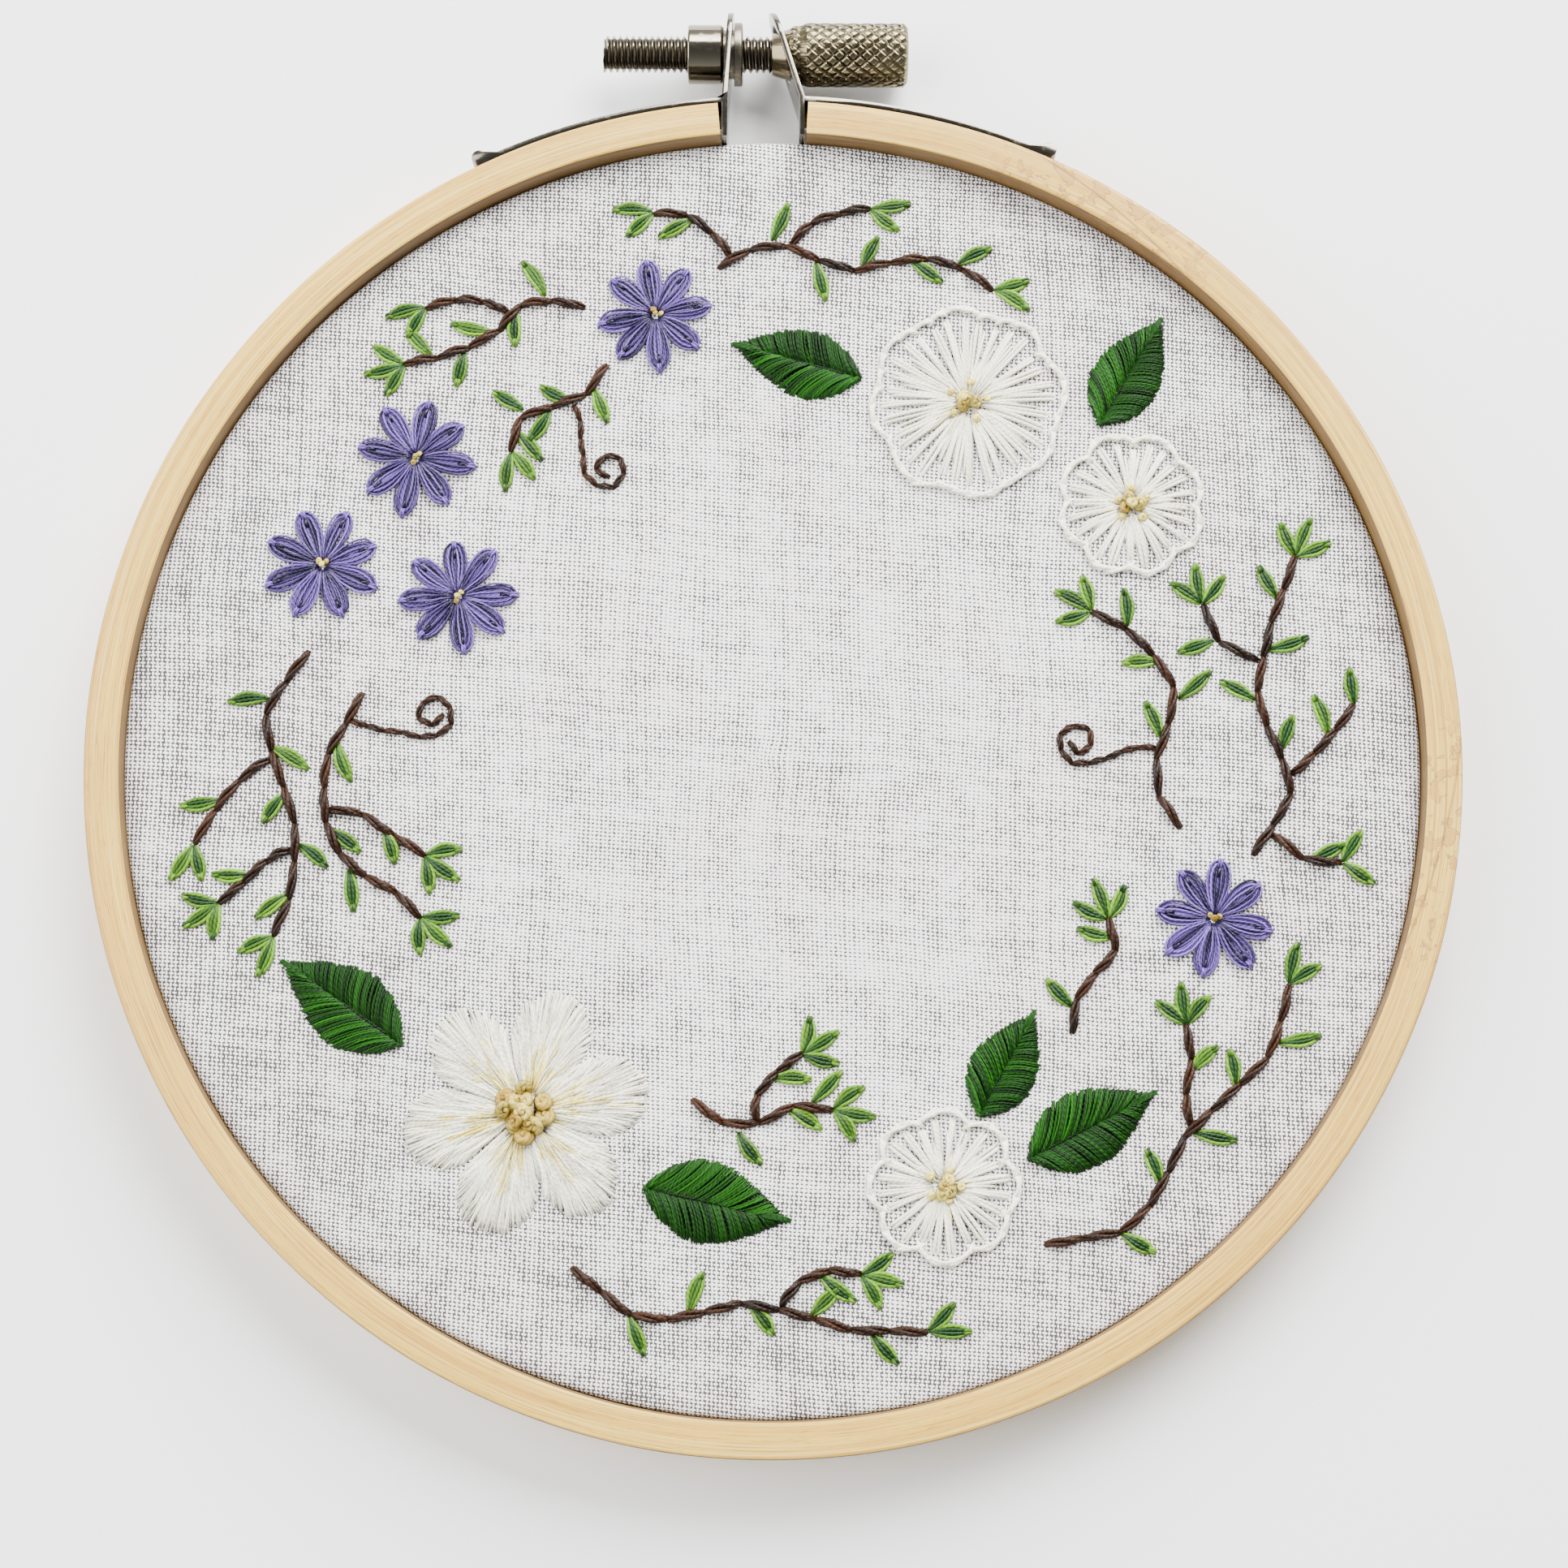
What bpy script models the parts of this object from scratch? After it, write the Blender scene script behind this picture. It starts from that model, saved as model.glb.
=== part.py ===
"""Hoop embroidery art: cloth stretched in a screw-tightened bamboo hoop, with a stitched flower wreath.

Metres, +Z up. The hoop lies on its back on z = 0, its stitched face up and its screw towards +Y.
The origin is the middle of the underside of the whole part's box.
"""

import math

import bpy
from mathutils import Vector

MM = 0.001

# The two bamboo rings, with the cloth pinched between them
OUTER_RADIUS = 72.0 * MM
OUTER_WALL = 3.8 * MM
OUTER_HEIGHT = 9.0 * MM
INNER_WALL = 3.6 * MM
CLOTH_THICKNESS = 1.0 * MM
CLOTH_RECESS = 1.9 * MM
CLEARANCE = 0.3 * MM
RING_EDGE = 0.5 * MM
CLOTH_EDGE = 0.9 * MM
RING_STEPS = 96

# The gap in the outer ring, which sits a little left of the middle
GAP_WIDTH = 9.6 * MM
GAP_CENTRE_X = -1.5 * MM

# The two steel brackets: a strap along the ring, an ear up to the screw, and a plate over the ring's end
PLATE = 0.6 * MM
STRAP = 0.5 * MM
BRACKET_WIDTH = 8.0 * MM
TAB_MARGIN = 0.05 * MM
STRAP_DEGREES = 21.5
STRAP_ROLL_RADIUS = 0.8 * MM
EAR_RISE = 11.4 * MM
LEFT_EAR_LEAN = 3.0
RIGHT_EAR_LEAN = 17.5

# The screw, its riveted nut in the left ear, and its knurled knob
SCREW_HEIGHT = 6.9 * MM
ROD_RADIUS = 2.0 * MM
THREAD_DEPTH = 0.4 * MM
THREAD_PITCH = 0.7 * MM
ROD_LEFT = -19.1 * MM
ROD_RIGHT = -0.9 * MM
NUT_RADIUS = 3.2 * MM
NUT_LENGTH = 3.9 * MM
NUT_NECK_RADIUS = 2.65 * MM
NUT_FLANGE_RADIUS = 3.45 * MM
NUT_FLANGE = 0.9 * MM
KNOB_RADIUS = 3.45 * MM
KNOB_LEFT = -0.6 * MM
KNOB_CONE = 3.2 * MM
KNOB_RIGHT = 14.3 * MM
KNOB_EDGE = 0.35 * MM
RIGHT_HOLE_RADIUS = 3.2 * MM

# The stitched wreath, in millimetres and degrees round the hoop's middle, anticlockwise from +X
STITCH_HEIGHT = 0.9 * MM
STITCH_EDGE = 0.3 * MM
KNOT_HEIGHT = 1.1 * MM
STEM_RADIUS = 0.55 * MM
STEM_STEP = 2.2 * MM

BLOSSOM = {"angle": 236.0, "reach": 45.0, "radius": 13.0, "turn": 12.0, "knots": 3.6}
BLOSSOM_SHAPE = {"petals": 6, "waist": 0.60, "fullness": 0.6}

ROSETTES = [
    {"angle": 62.0, "reach": 44.0, "radius": 10.2, "turn": 8.0, "knots": 2.2},
    {"angle": 36.0, "reach": 47.0, "radius": 7.5, "turn": 20.0, "knots": 1.9},
    {"angle": 292.0, "reach": 48.0, "radius": 7.5, "turn": 0.0, "knots": 1.9},
]
ROSETTE_SHAPE = {"petals": 8, "waist": 0.86, "fullness": 0.8}

ASTERS = [
    {"angle": 140.0, "reach": 50.0, "radius": 6.7, "turn": 80.0},
    {"angle": 157.0, "reach": 52.0, "radius": 6.5, "turn": 20.0},
    {"angle": 153.0, "reach": 37.5, "radius": 6.4, "turn": 50.0},
    {"angle": 105.0, "reach": 50.0, "radius": 6.5, "turn": 98.0},
    {"angle": 340.0, "reach": 49.0, "radius": 6.5, "turn": 35.0},
]
ASTER_SHAPE = {"petals": 8, "waist": 0.42, "fullness": 1.2}

LEAVES = [
    {"angle": 48.0, "reach": 57.0, "length": 13.5, "width": 7.6, "points_to": 60.0},
    {"angle": 87.0, "reach": 43.3, "length": 14.0, "width": 7.8, "points_to": 165.0},
    {"angle": 263.5, "reach": 46.8, "length": 15.0, "width": 8.6, "points_to": 348.0},
    {"angle": 210.5, "reach": 51.5, "length": 15.0, "width": 8.6, "points_to": 146.0},
    {"angle": 311.0, "reach": 50.6, "length": 14.5, "width": 8.2, "points_to": 28.0},
    {"angle": 307.5, "reach": 40.2, "length": 12.0, "width": 7.2, "points_to": 62.0},
]

# Each stem runs through (degrees round the hoop, millimetres from its middle)
STEMS = {
    "stem_left_long": [(167, 50), (176, 53.5), (187, 50.5), (195, 51.5), (201, 55.5)],
    "stem_left_short": [(171, 43.5), (182, 47), (193, 46.5), (200, 42), (206, 40)],
    "stem_left_twig_a": [(181.5, 55), (186, 58.5), (189.5, 61.5)],
    "stem_left_twig_b": [(191, 52.8), (194, 56.5), (195.5, 60)],
    "stem_left_twig_c": [(187, 44.8), (192, 40.5), (197, 37.5)],
    "stem_shoulder_long": [(112.5, 53), (118, 56.5), (125, 55), (133.5, 58.5)],
    "stem_shoulder_short": [(112.5, 46.5), (119, 44), (126, 46), (131, 43)],
    "stem_shoulder_twig": [(121, 57.3), (123.5, 60), (128, 62)],
    "stem_top_long": [(97, 54), (90, 56.5), (82, 54), (73, 57.5), (65, 56.5)],
    "stem_top_twig_a": [(88, 57.6), (84.5, 60), (80, 61.5)],
    "stem_top_twig_b": [(96, 57), (98.5, 60), (103, 61.5)],
    "stem_right_long": [(348.5, 51), (357, 54.5), (7, 51.5), (16, 55), (22, 60)],
    "stem_right_short": [(350, 43.5), (358, 40), (9, 43), (18, 41), (26, 37)],
    "stem_right_twig_a": [(359, 55.5), (3, 59), (6, 62)],
    "stem_right_twig_b": [(12.5, 51), (16.5, 48.2), (21, 48.5)],
    "stem_right_twig_c": [(351, 53.8), (349, 57.5), (350, 61)],
    "stem_foot_long": [(249, 56.5), (258, 59.5), (268, 56.5), (278, 59.5), (286, 61.5)],
    "stem_foot_short": [(257, 36.5), (265, 39), (274, 36.5), (281, 37.5)],
    "stem_foot_twig_a": [(271.5, 55.5), (276, 53.3), (280.5, 54.5)],
    "stem_foot_twig_b": [(266.5, 36.8), (271, 33), (277, 31)],
    "stem_corner_long": [(299, 57.5), (308, 61), (318, 58), (329, 60), (337, 58.5)],
    "stem_corner_short": [(317, 42.5), (324, 40), (330, 41.5), (335, 38.5)],
    "stem_corner_twig": [(318.5, 56.5), (323.5, 54), (327.5, 51)],
}

# Each tendril is a short stem that winds inwards: start, first heading, length to the curl, and turns
TENDRILS = {
    "tendril_left": {"angle": 176.0, "reach": 43.2, "heading": 350.0, "length": 7.0, "turns": 1.35},
    "tendril_right": {"angle": 2.5, "reach": 39.2, "heading": 200.0, "length": 6.5, "turns": -1.35},
    "tendril_shoulder": {"angle": 119.5, "reach": 42.4, "heading": 275.0, "length": 6.0, "turns": 1.3},
}
CURL_RADIUS = 2.6 * MM
CURL_TIGHTEN = 0.42

# Sizes that follow from the ones above
RING_INSIDE = OUTER_RADIUS - OUTER_WALL
SKIRT_OUTSIDE = RING_INSIDE - CLEARANCE
SKIRT_INSIDE = SKIRT_OUTSIDE - CLOTH_THICKNESS
INNER_RADIUS = SKIRT_INSIDE - CLEARANCE
CLOTH_TOP = OUTER_HEIGHT - CLOTH_RECESS
CLOTH_UNDER = CLOTH_TOP - CLOTH_THICKNESS
INNER_HEIGHT = CLOTH_UNDER - CLEARANCE
EAR_TOP = OUTER_RADIUS + EAR_RISE
CENTRE_Y = -(EAR_TOP - OUTER_RADIUS) / 2
MIDDLE_Z = OUTER_HEIGHT / 2
SCREW_Y = CENTRE_Y + OUTER_RADIUS + SCREW_HEIGHT
GAP_LEFT = GAP_CENTRE_X - GAP_WIDTH / 2
GAP_RIGHT = GAP_CENTRE_X + GAP_WIDTH / 2
STITCH_UNDER = CLOTH_TOP + CLEARANCE


def clear_scene():
    for found in list(bpy.data.objects):
        bpy.data.objects.remove(found, do_unlink=True)


def material(name, colour, roughness, metallic=0.0):
    made = bpy.data.materials.new(name)
    made.use_nodes = True
    shader = made.node_tree.nodes["Principled BSDF"]
    shader.inputs["Base Color"].default_value = (*colour, 1.0)
    shader.inputs["Roughness"].default_value = roughness
    shader.inputs["Metallic"].default_value = metallic
    return made


def collection(name):
    made = bpy.data.collections.new(name)
    bpy.context.scene.collection.children.link(made)
    return made


def add(name, data, into, finish=None):
    made = bpy.data.objects.new(name, data)
    into.objects.link(made)
    if finish is not None:
        data.materials.append(finish)
    return made


def move_to(made, into):
    for found in list(made.users_collection):
        found.objects.unlink(made)
    into.objects.link(made)


def hide_cutter(cutter):
    cutter.hide_render = True
    cutter.display_type = "WIRE"
    return cutter


def as_mesh(source, into):
    """The curve's evaluated shape as a mesh object of the same name, with its caps welded."""
    bpy.context.view_layer.update()
    graph = bpy.context.evaluated_depsgraph_get()
    mesh = bpy.data.meshes.new_from_object(source.evaluated_get(graph))
    place = source.matrix_world.copy()
    name = source.name
    bpy.data.objects.remove(source, do_unlink=True)
    made = bpy.data.objects.new(name, mesh)
    into.objects.link(made)
    made.matrix_world = place
    weld = made.modifiers.new("weld", "WELD")
    weld.merge_threshold = 0.00001
    return made


def boolean(target, cutter, operation):
    cut = target.modifiers.new(cutter.name, "BOOLEAN")
    cut.operation = operation
    cut.solver = "EXACT"
    cut.object = cutter


def turned(name, profile, into, finish=None, steps=RING_STEPS):
    """A profile of (radius, height) points, running down its outer side, turned round Z."""
    mesh = bpy.data.meshes.new(name)
    closed = profile[0][0] > 0 and profile[-1][0] > 0
    count = len(profile)
    edges = [(i, (i + 1) % count) for i in range(count if closed else count - 1)]
    mesh.from_pydata([(radius, 0.0, height) for radius, height in profile], edges, [])
    made = add(name, mesh, into, finish)
    screw = made.modifiers.new("turn", "SCREW")
    screw.steps = steps
    screw.render_steps = steps
    screw.use_merge_vertices = True
    screw.merge_threshold = 0.00001
    return made


def flat_shape(name, outline, thickness, edge, into, finish=None):
    """A closed outline of (x, y) points, filled and thickened both ways, with its rim rounded by edge."""
    curve = bpy.data.curves.new(name, "CURVE")
    curve.dimensions = "2D"
    curve.fill_mode = "BOTH"
    curve.extrude = thickness / 2 - edge
    curve.bevel_depth = edge
    curve.bevel_resolution = 0
    curve.offset = -edge
    spline = curve.splines.new("POLY")
    spline.points.add(len(outline) - 1)
    for point, (x, y) in zip(spline.points, outline):
        point.co = (x, y, 0.0, 1.0)
    spline.use_cyclic_u = True
    return add(name, curve, into, finish)


def tube(name, points, radius, into, finish):
    curve = bpy.data.curves.new(name, "CURVE")
    curve.dimensions = "3D"
    curve.bevel_depth = radius
    curve.bevel_resolution = 1
    curve.use_fill_caps = True
    spline = curve.splines.new("POLY")
    spline.points.add(len(points) - 1)
    for point, place in zip(spline.points, points):
        point.co = (*place, 1.0)
    return add(name, curve, into, finish)


def polar(angle, reach):
    """A place on the wreath, in metres, from degrees round the hoop and metres from its middle."""
    turn = math.radians(angle)
    return Vector((reach * math.cos(turn), CENTRE_Y + reach * math.sin(turn)))


def heading(degrees):
    return Vector((math.cos(math.radians(degrees)), math.sin(math.radians(degrees))))


def smooth_path(points, step):
    """Points about a step apart on a smooth curve through the given ones."""
    ends = [points[0] * 2 - points[1], *points, points[-1] * 2 - points[-2]]
    found = []
    for before, start, end, after in zip(ends, ends[1:], ends[2:], ends[3:]):
        pieces = max(1, round((end - start).length / step))
        for k in range(pieces):
            t = k / pieces
            found.append(
                0.5
                * (
                    2 * start
                    + (end - before) * t
                    + (2 * before - 5 * start + 4 * end - after) * t**2
                    + (3 * start - before - 3 * end + after) * t**3
                )
            )
    return [*found, points[-1]]


def ring_profile(outside, wall, height, edge):
    """A ring's wall as a closed profile with chamfered edges, from its outer top edge down."""
    inside = outside - wall
    return [
        (outside, height - edge),
        (outside, edge),
        (outside - edge, 0.0),
        (inside + edge, 0.0),
        (inside, edge),
        (inside, height - edge),
        (inside + edge, height),
        (outside - edge, height),
    ]


def outer_ring(parts, cutters, finish):
    ring = turned("outer_ring", ring_profile(OUTER_RADIUS, OUTER_WALL, OUTER_HEIGHT, RING_EDGE), parts, finish)
    ring.location.y = CENTRE_Y
    bpy.ops.mesh.primitive_cube_add(size=1.0)
    gap = bpy.context.object
    gap.name = "gap_cutter"
    gap.scale = (GAP_WIDTH, OUTER_WALL * 3, OUTER_HEIGHT * 2)
    gap.location = (GAP_CENTRE_X, CENTRE_Y + OUTER_RADIUS - OUTER_WALL / 2, MIDDLE_Z)
    move_to(gap, cutters)
    boolean(ring, hide_cutter(gap), "DIFFERENCE")


def inner_ring(parts, finish):
    ring = turned("inner_ring", ring_profile(INNER_RADIUS, INNER_WALL, INNER_HEIGHT, RING_EDGE), parts, finish)
    ring.location.y = CENTRE_Y


def cloth(parts, finish):
    """One cut of cloth: flat across the inner ring, turned over its edge, and trimmed near its back."""
    profile = [
        (0.0, CLOTH_TOP),
        (SKIRT_OUTSIDE - CLOTH_EDGE, CLOTH_TOP),
        (SKIRT_OUTSIDE - CLOTH_EDGE * 0.3, CLOTH_TOP - CLOTH_EDGE * 0.3),
        (SKIRT_OUTSIDE, CLOTH_TOP - CLOTH_EDGE),
        (SKIRT_OUTSIDE, CLEARANCE),
        (SKIRT_INSIDE, CLEARANCE),
        (SKIRT_INSIDE, CLOTH_UNDER),
        (0.0, CLOTH_UNDER),
    ]
    sheet = turned("cloth", profile, parts, finish)
    sheet.location.y = CENTRE_Y


def arc(radius, start, end, steps):
    """Points on a circle round the hoop's middle, from one angle to another in degrees."""
    return [polar(start + (end - start) * k / steps, radius) for k in range(steps + 1)]


def bracket_outline(side, lean):
    """The bracket seen along Z: side is -1 for the left bracket and 1 for the right one."""
    ring_end = GAP_CENTRE_X + side * GAP_WIDTH / 2
    plate_far = ring_end - side * CLEARANCE
    plate_near = plate_far - side * PLATE
    under = OUTER_RADIUS + CLEARANCE
    over = under + STRAP
    corner = math.degrees(math.acos(plate_far / over))
    tip = corner - side * STRAP_DEGREES
    roll = polar(tip, under + STRAP_ROLL_RADIUS)
    roll_points = [
        roll + heading(tip + side * turn) * STRAP_ROLL_RADIUS
        for turn in (60.0, 20.0, -30.0, -80.0, -130.0, -175.0)
    ]
    ear_foot = CENTRE_Y + over * math.sin(math.radians(corner))
    ear_slope = Vector((-side * math.tan(math.radians(abs(lean))), 1.0))
    rise = EAR_TOP + CENTRE_Y - ear_foot
    far_foot = Vector((plate_far, ear_foot))
    near_foot = Vector((plate_near, ear_foot))
    plate_end = CENTRE_Y + math.sqrt(RING_INSIDE**2 - plate_near**2)
    return [
        *arc(over, corner, tip + side * 1.6, 10),
        *roll_points,
        *arc(under, tip + side * 1.0, corner, 10)[:-1],
        Vector((plate_far, CENTRE_Y + under * math.sin(math.radians(corner)))),
        Vector((plate_far, plate_end)),
        Vector((plate_near, plate_end)),
        near_foot,
        near_foot + ear_slope * rise,
        far_foot + ear_slope * rise,
    ]


def ear_envelope(name, cutters):
    """A tall rounded tab, across the whole bracket, that rounds the ear's top corners."""
    half = BRACKET_WIDTH / 2 + TAB_MARGIN
    top = CENTRE_Y + EAR_TOP
    outline = [(top - half, -half), (CENTRE_Y, -half), (CENTRE_Y, half), (top - half, half)]
    for k in range(1, 12):
        turn = math.pi / 2 - math.pi * k / 12
        outline.append((top - half + half * math.cos(turn), half * math.sin(turn)))
    tab = flat_shape(name, outline, OUTER_RADIUS * 2, 0.0, cutters)
    # The tab is drawn with its height along X: this stands it up along Y, and its thickness along X
    tab.rotation_euler = (math.pi / 2, 0.0, math.pi / 2)
    tab.location.z = MIDDLE_Z
    return hide_cutter(as_mesh(tab, cutters))


def cylinder_along_x(name, radius, left, right, into):
    bpy.ops.mesh.primitive_cylinder_add(vertices=32, radius=radius, depth=right - left)
    made = bpy.context.object
    made.name = name
    made.rotation_euler.y = math.pi / 2
    made.location = ((left + right) / 2, SCREW_Y, MIDDLE_Z)
    move_to(made, into)
    return made


def bracket(name, side, lean, hole_radius, parts, cutters, finish):
    plate = flat_shape(name, bracket_outline(side, lean), BRACKET_WIDTH, 0.0, parts, finish)
    plate.location.z = MIDDLE_Z
    plate = as_mesh(plate, parts)
    boolean(plate, ear_envelope(name + "_tab", cutters), "INTERSECT")
    middle = GAP_CENTRE_X + side * GAP_WIDTH / 2
    hole = cylinder_along_x(name + "_hole", hole_radius, middle - 6 * MM, middle + 6 * MM, cutters)
    boolean(plate, hide_cutter(hole), "DIFFERENCE")


def screw_piece(name, profile, parts, finish, steps):
    """A turned piece of the screw: its profile's heights run along X."""
    made = turned(name, profile, parts, finish, steps)
    made.rotation_euler.y = math.pi / 2
    made.location = (0.0, SCREW_Y, MIDDLE_Z)
    return made


def screw_nut(parts, finish):
    """The threaded barrel, which is riveted through the left ear and flanged on the gap's side."""
    ear_at_screw = GAP_LEFT + CLEARANCE + SCREW_HEIGHT * math.tan(math.radians(LEFT_EAR_LEAN))
    shoulder = ear_at_screw - CLEARANCE
    flange = ear_at_screw + PLATE + CLEARANCE
    bore = ROD_RADIUS + CLEARANCE
    edge = KNOB_EDGE
    profile = [
        (NUT_FLANGE_RADIUS, flange + NUT_FLANGE),
        (NUT_FLANGE_RADIUS, flange),
        (NUT_NECK_RADIUS, flange),
        (NUT_NECK_RADIUS, shoulder),
        (NUT_RADIUS, shoulder),
        (NUT_RADIUS, shoulder - NUT_LENGTH + edge),
        (NUT_RADIUS - edge, shoulder - NUT_LENGTH),
        (bore, shoulder - NUT_LENGTH),
        (bore, flange + NUT_FLANGE),
    ]
    screw_piece("screw_nut", profile, parts, finish, 24)


def screw_rod(parts, finish):
    """The threaded rod, its thread as rings one pitch apart."""
    root = ROD_RADIUS - THREAD_DEPTH
    turns = round((ROD_RIGHT - ROD_LEFT) / THREAD_PITCH) - 1
    profile = [(0.0, ROD_RIGHT), (root, ROD_RIGHT)]
    for k in range(turns):
        crest = ROD_RIGHT - THREAD_PITCH * (k + 0.75)
        profile += [(ROD_RADIUS, crest), (root, crest - THREAD_PITCH / 2)]
    profile += [(root, ROD_LEFT), (0.0, ROD_LEFT)]
    screw_piece("screw_rod", profile, parts, finish, 16)


def screw_knob(parts, finish):
    """The knurled knob, with the cone that seats in the right ear's hole."""
    profile = [
        (0.0, KNOB_RIGHT),
        (KNOB_RADIUS - KNOB_EDGE, KNOB_RIGHT),
        (KNOB_RADIUS, KNOB_RIGHT - KNOB_EDGE),
        (KNOB_RADIUS, KNOB_LEFT + KNOB_CONE + KNOB_EDGE),
        (KNOB_RADIUS - KNOB_EDGE, KNOB_LEFT + KNOB_CONE),
        (ROD_RADIUS - THREAD_DEPTH, KNOB_LEFT),
        (0.0, KNOB_LEFT),
    ]
    screw_piece("screw_knob", profile, parts, finish, 32)


def flower_outline(row, shape):
    """A flower seen from above: its edge swings between its waist and its radius once a petal."""
    centre = polar(row["angle"], row["reach"] * MM)
    count = shape["petals"] * 8
    outline = []
    for k in range(count):
        along = 360.0 * k / count
        swing = abs(math.cos(math.radians(along * shape["petals"] / 2))) ** shape["fullness"]
        reach = row["radius"] * MM * (shape["waist"] + (1 - shape["waist"]) * swing)
        outline.append(centre + heading(along + row["turn"]) * reach)
    return outline


def leaf_outline(row):
    """A pointed leaf whose widest place is nearer its foot."""
    centre = polar(row["angle"], row["reach"] * MM)
    length, width = row["length"] * MM, row["width"] * MM
    along, across = heading(row["points_to"]), heading(row["points_to"] + 90)
    steps = 10
    right, left = [], []
    for k in range(1, steps):
        t = k / steps
        spine = centre + along * length * (t - 0.5)
        half = across * math.sin(math.pi * t**0.8) * width / 2
        right.append(spine - half)
        left.append(spine + half)
    return [centre - along * length / 2, *right, centre + along * length / 2, *reversed(left)]


def knots(name, row, parts, finish):
    """The heap of French knots at a flower's heart, as one low dome."""
    radius = row["knots"] * MM
    profile = [
        (0.0, KNOT_HEIGHT),
        (radius * 0.6, KNOT_HEIGHT * 0.85),
        (radius * 0.95, KNOT_HEIGHT * 0.45),
        (radius, KNOT_HEIGHT * 0.15),
        (radius * 0.9, 0.0),
        (0.0, 0.0),
    ]
    made = turned(name, profile, parts, finish, 12)
    made.location = (*polar(row["angle"], row["reach"] * MM), STITCH_UNDER + STITCH_HEIGHT + CLEARANCE)


def stitched_shape(name, outline, parts, finish):
    made = flat_shape(name, outline, STITCH_HEIGHT, STITCH_EDGE, parts, finish)
    made.location.z = STITCH_UNDER + STITCH_HEIGHT / 2


def stem_height():
    return STITCH_UNDER + STEM_RADIUS


def stem(name, row, parts, finish):
    route = [polar(angle, reach * MM) for angle, reach in row]
    path = smooth_path(route, STEM_STEP)
    tube(name, [(*point, stem_height()) for point in path], STEM_RADIUS, parts, finish)


def tendril_path(row):
    """A stem that runs straight on, then winds inwards in one tightening curl."""
    start = polar(row["angle"], row["reach"] * MM)
    along = heading(row["heading"])
    side = 1 if row["turns"] > 0 else -1
    curl_start = start + along * row["length"] * MM
    inward = Vector((-along.y, along.x)) * side
    middle = curl_start + inward * CURL_RADIUS
    first = math.degrees(math.atan2(-inward.y, -inward.x))
    points = [start + (curl_start - start) * k / 3 for k in range(3)]
    steps = 16
    for k in range(steps + 1):
        t = k / steps
        turn = first + 360.0 * row["turns"] * t
        points.append(middle + heading(turn) * CURL_RADIUS * (1 - (1 - CURL_TIGHTEN) * t**0.8))
    return points


def build():
    clear_scene()
    parts = collection("hoop_embroidery_art")
    cutters = collection("cutters")
    bamboo = material("bamboo", (0.80, 0.66, 0.44), 0.5)
    cotton = material("cotton", (0.86, 0.85, 0.85), 0.9)
    steel = material("nickel_steel", (0.62, 0.60, 0.55), 0.25, 1.0)
    white = material("white_thread", (0.92, 0.92, 0.90), 0.6)
    cream = material("cream_thread", (0.85, 0.72, 0.42), 0.6)
    green = material("green_thread", (0.05, 0.22, 0.04), 0.55)
    purple = material("purple_thread", (0.24, 0.19, 0.52), 0.55)
    brown = material("brown_thread", (0.09, 0.035, 0.015), 0.6)

    outer_ring(parts, cutters, bamboo)
    inner_ring(parts, bamboo)
    cloth(parts, cotton)
    bracket("bracket_left", -1, LEFT_EAR_LEAN, NUT_NECK_RADIUS + CLEARANCE, parts, cutters, steel)
    bracket("bracket_right", 1, RIGHT_EAR_LEAN, RIGHT_HOLE_RADIUS, parts, cutters, steel)
    screw_nut(parts, steel)
    screw_rod(parts, steel)
    screw_knob(parts, steel)

    stitched_shape("blossom", flower_outline(BLOSSOM, BLOSSOM_SHAPE), parts, white)
    knots("blossom_knots", BLOSSOM, parts, cream)
    for number, row in enumerate(ROSETTES, 1):
        stitched_shape(f"rosette_{number}", flower_outline(row, ROSETTE_SHAPE), parts, white)
        knots(f"rosette_knots_{number}", row, parts, cream)
    for number, row in enumerate(ASTERS, 1):
        stitched_shape(f"aster_{number}", flower_outline(row, ASTER_SHAPE), parts, purple)
    for number, row in enumerate(LEAVES, 1):
        stitched_shape(f"leaf_{number}", leaf_outline(row), parts, green)
    for name, row in STEMS.items():
        stem(name, row, parts, brown)
    for name, row in TENDRILS.items():
        path = tendril_path(row)
        tube(name, [(*point, stem_height()) for point in path], STEM_RADIUS * 0.8, parts, brown)


build()
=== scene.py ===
# %% [markdown]
# Hoop embroidery art: cotton cloth stretched in a bamboo hoop, with a wreath stitched on it.
# The CAD gives the rings, the screw and a low solid for every stitched motif. This file dresses
# them: each flower and leaf becomes the many single threads that a stitcher would lay.
# First the frame is loaded, and its box is kept.

import math

import bpy
import numpy as np
from mathutils import Matrix, Vector


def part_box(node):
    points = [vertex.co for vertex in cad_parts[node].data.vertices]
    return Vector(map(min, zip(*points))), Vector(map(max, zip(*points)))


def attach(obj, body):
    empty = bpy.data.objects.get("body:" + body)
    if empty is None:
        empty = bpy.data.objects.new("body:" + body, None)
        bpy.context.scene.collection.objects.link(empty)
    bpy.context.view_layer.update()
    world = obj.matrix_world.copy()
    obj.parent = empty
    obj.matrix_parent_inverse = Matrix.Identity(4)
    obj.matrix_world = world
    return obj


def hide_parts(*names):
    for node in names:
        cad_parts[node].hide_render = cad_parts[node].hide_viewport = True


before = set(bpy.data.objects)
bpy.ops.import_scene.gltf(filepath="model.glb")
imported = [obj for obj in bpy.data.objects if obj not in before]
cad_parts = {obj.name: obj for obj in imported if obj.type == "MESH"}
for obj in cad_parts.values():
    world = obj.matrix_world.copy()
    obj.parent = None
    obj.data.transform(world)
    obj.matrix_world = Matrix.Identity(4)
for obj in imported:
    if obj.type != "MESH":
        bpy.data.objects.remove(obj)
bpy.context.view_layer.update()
MM = 0.001
cloth_low, cloth_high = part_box("cloth")
ring_low, ring_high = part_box("outer_ring")
HOOP_X = 0.0
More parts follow.
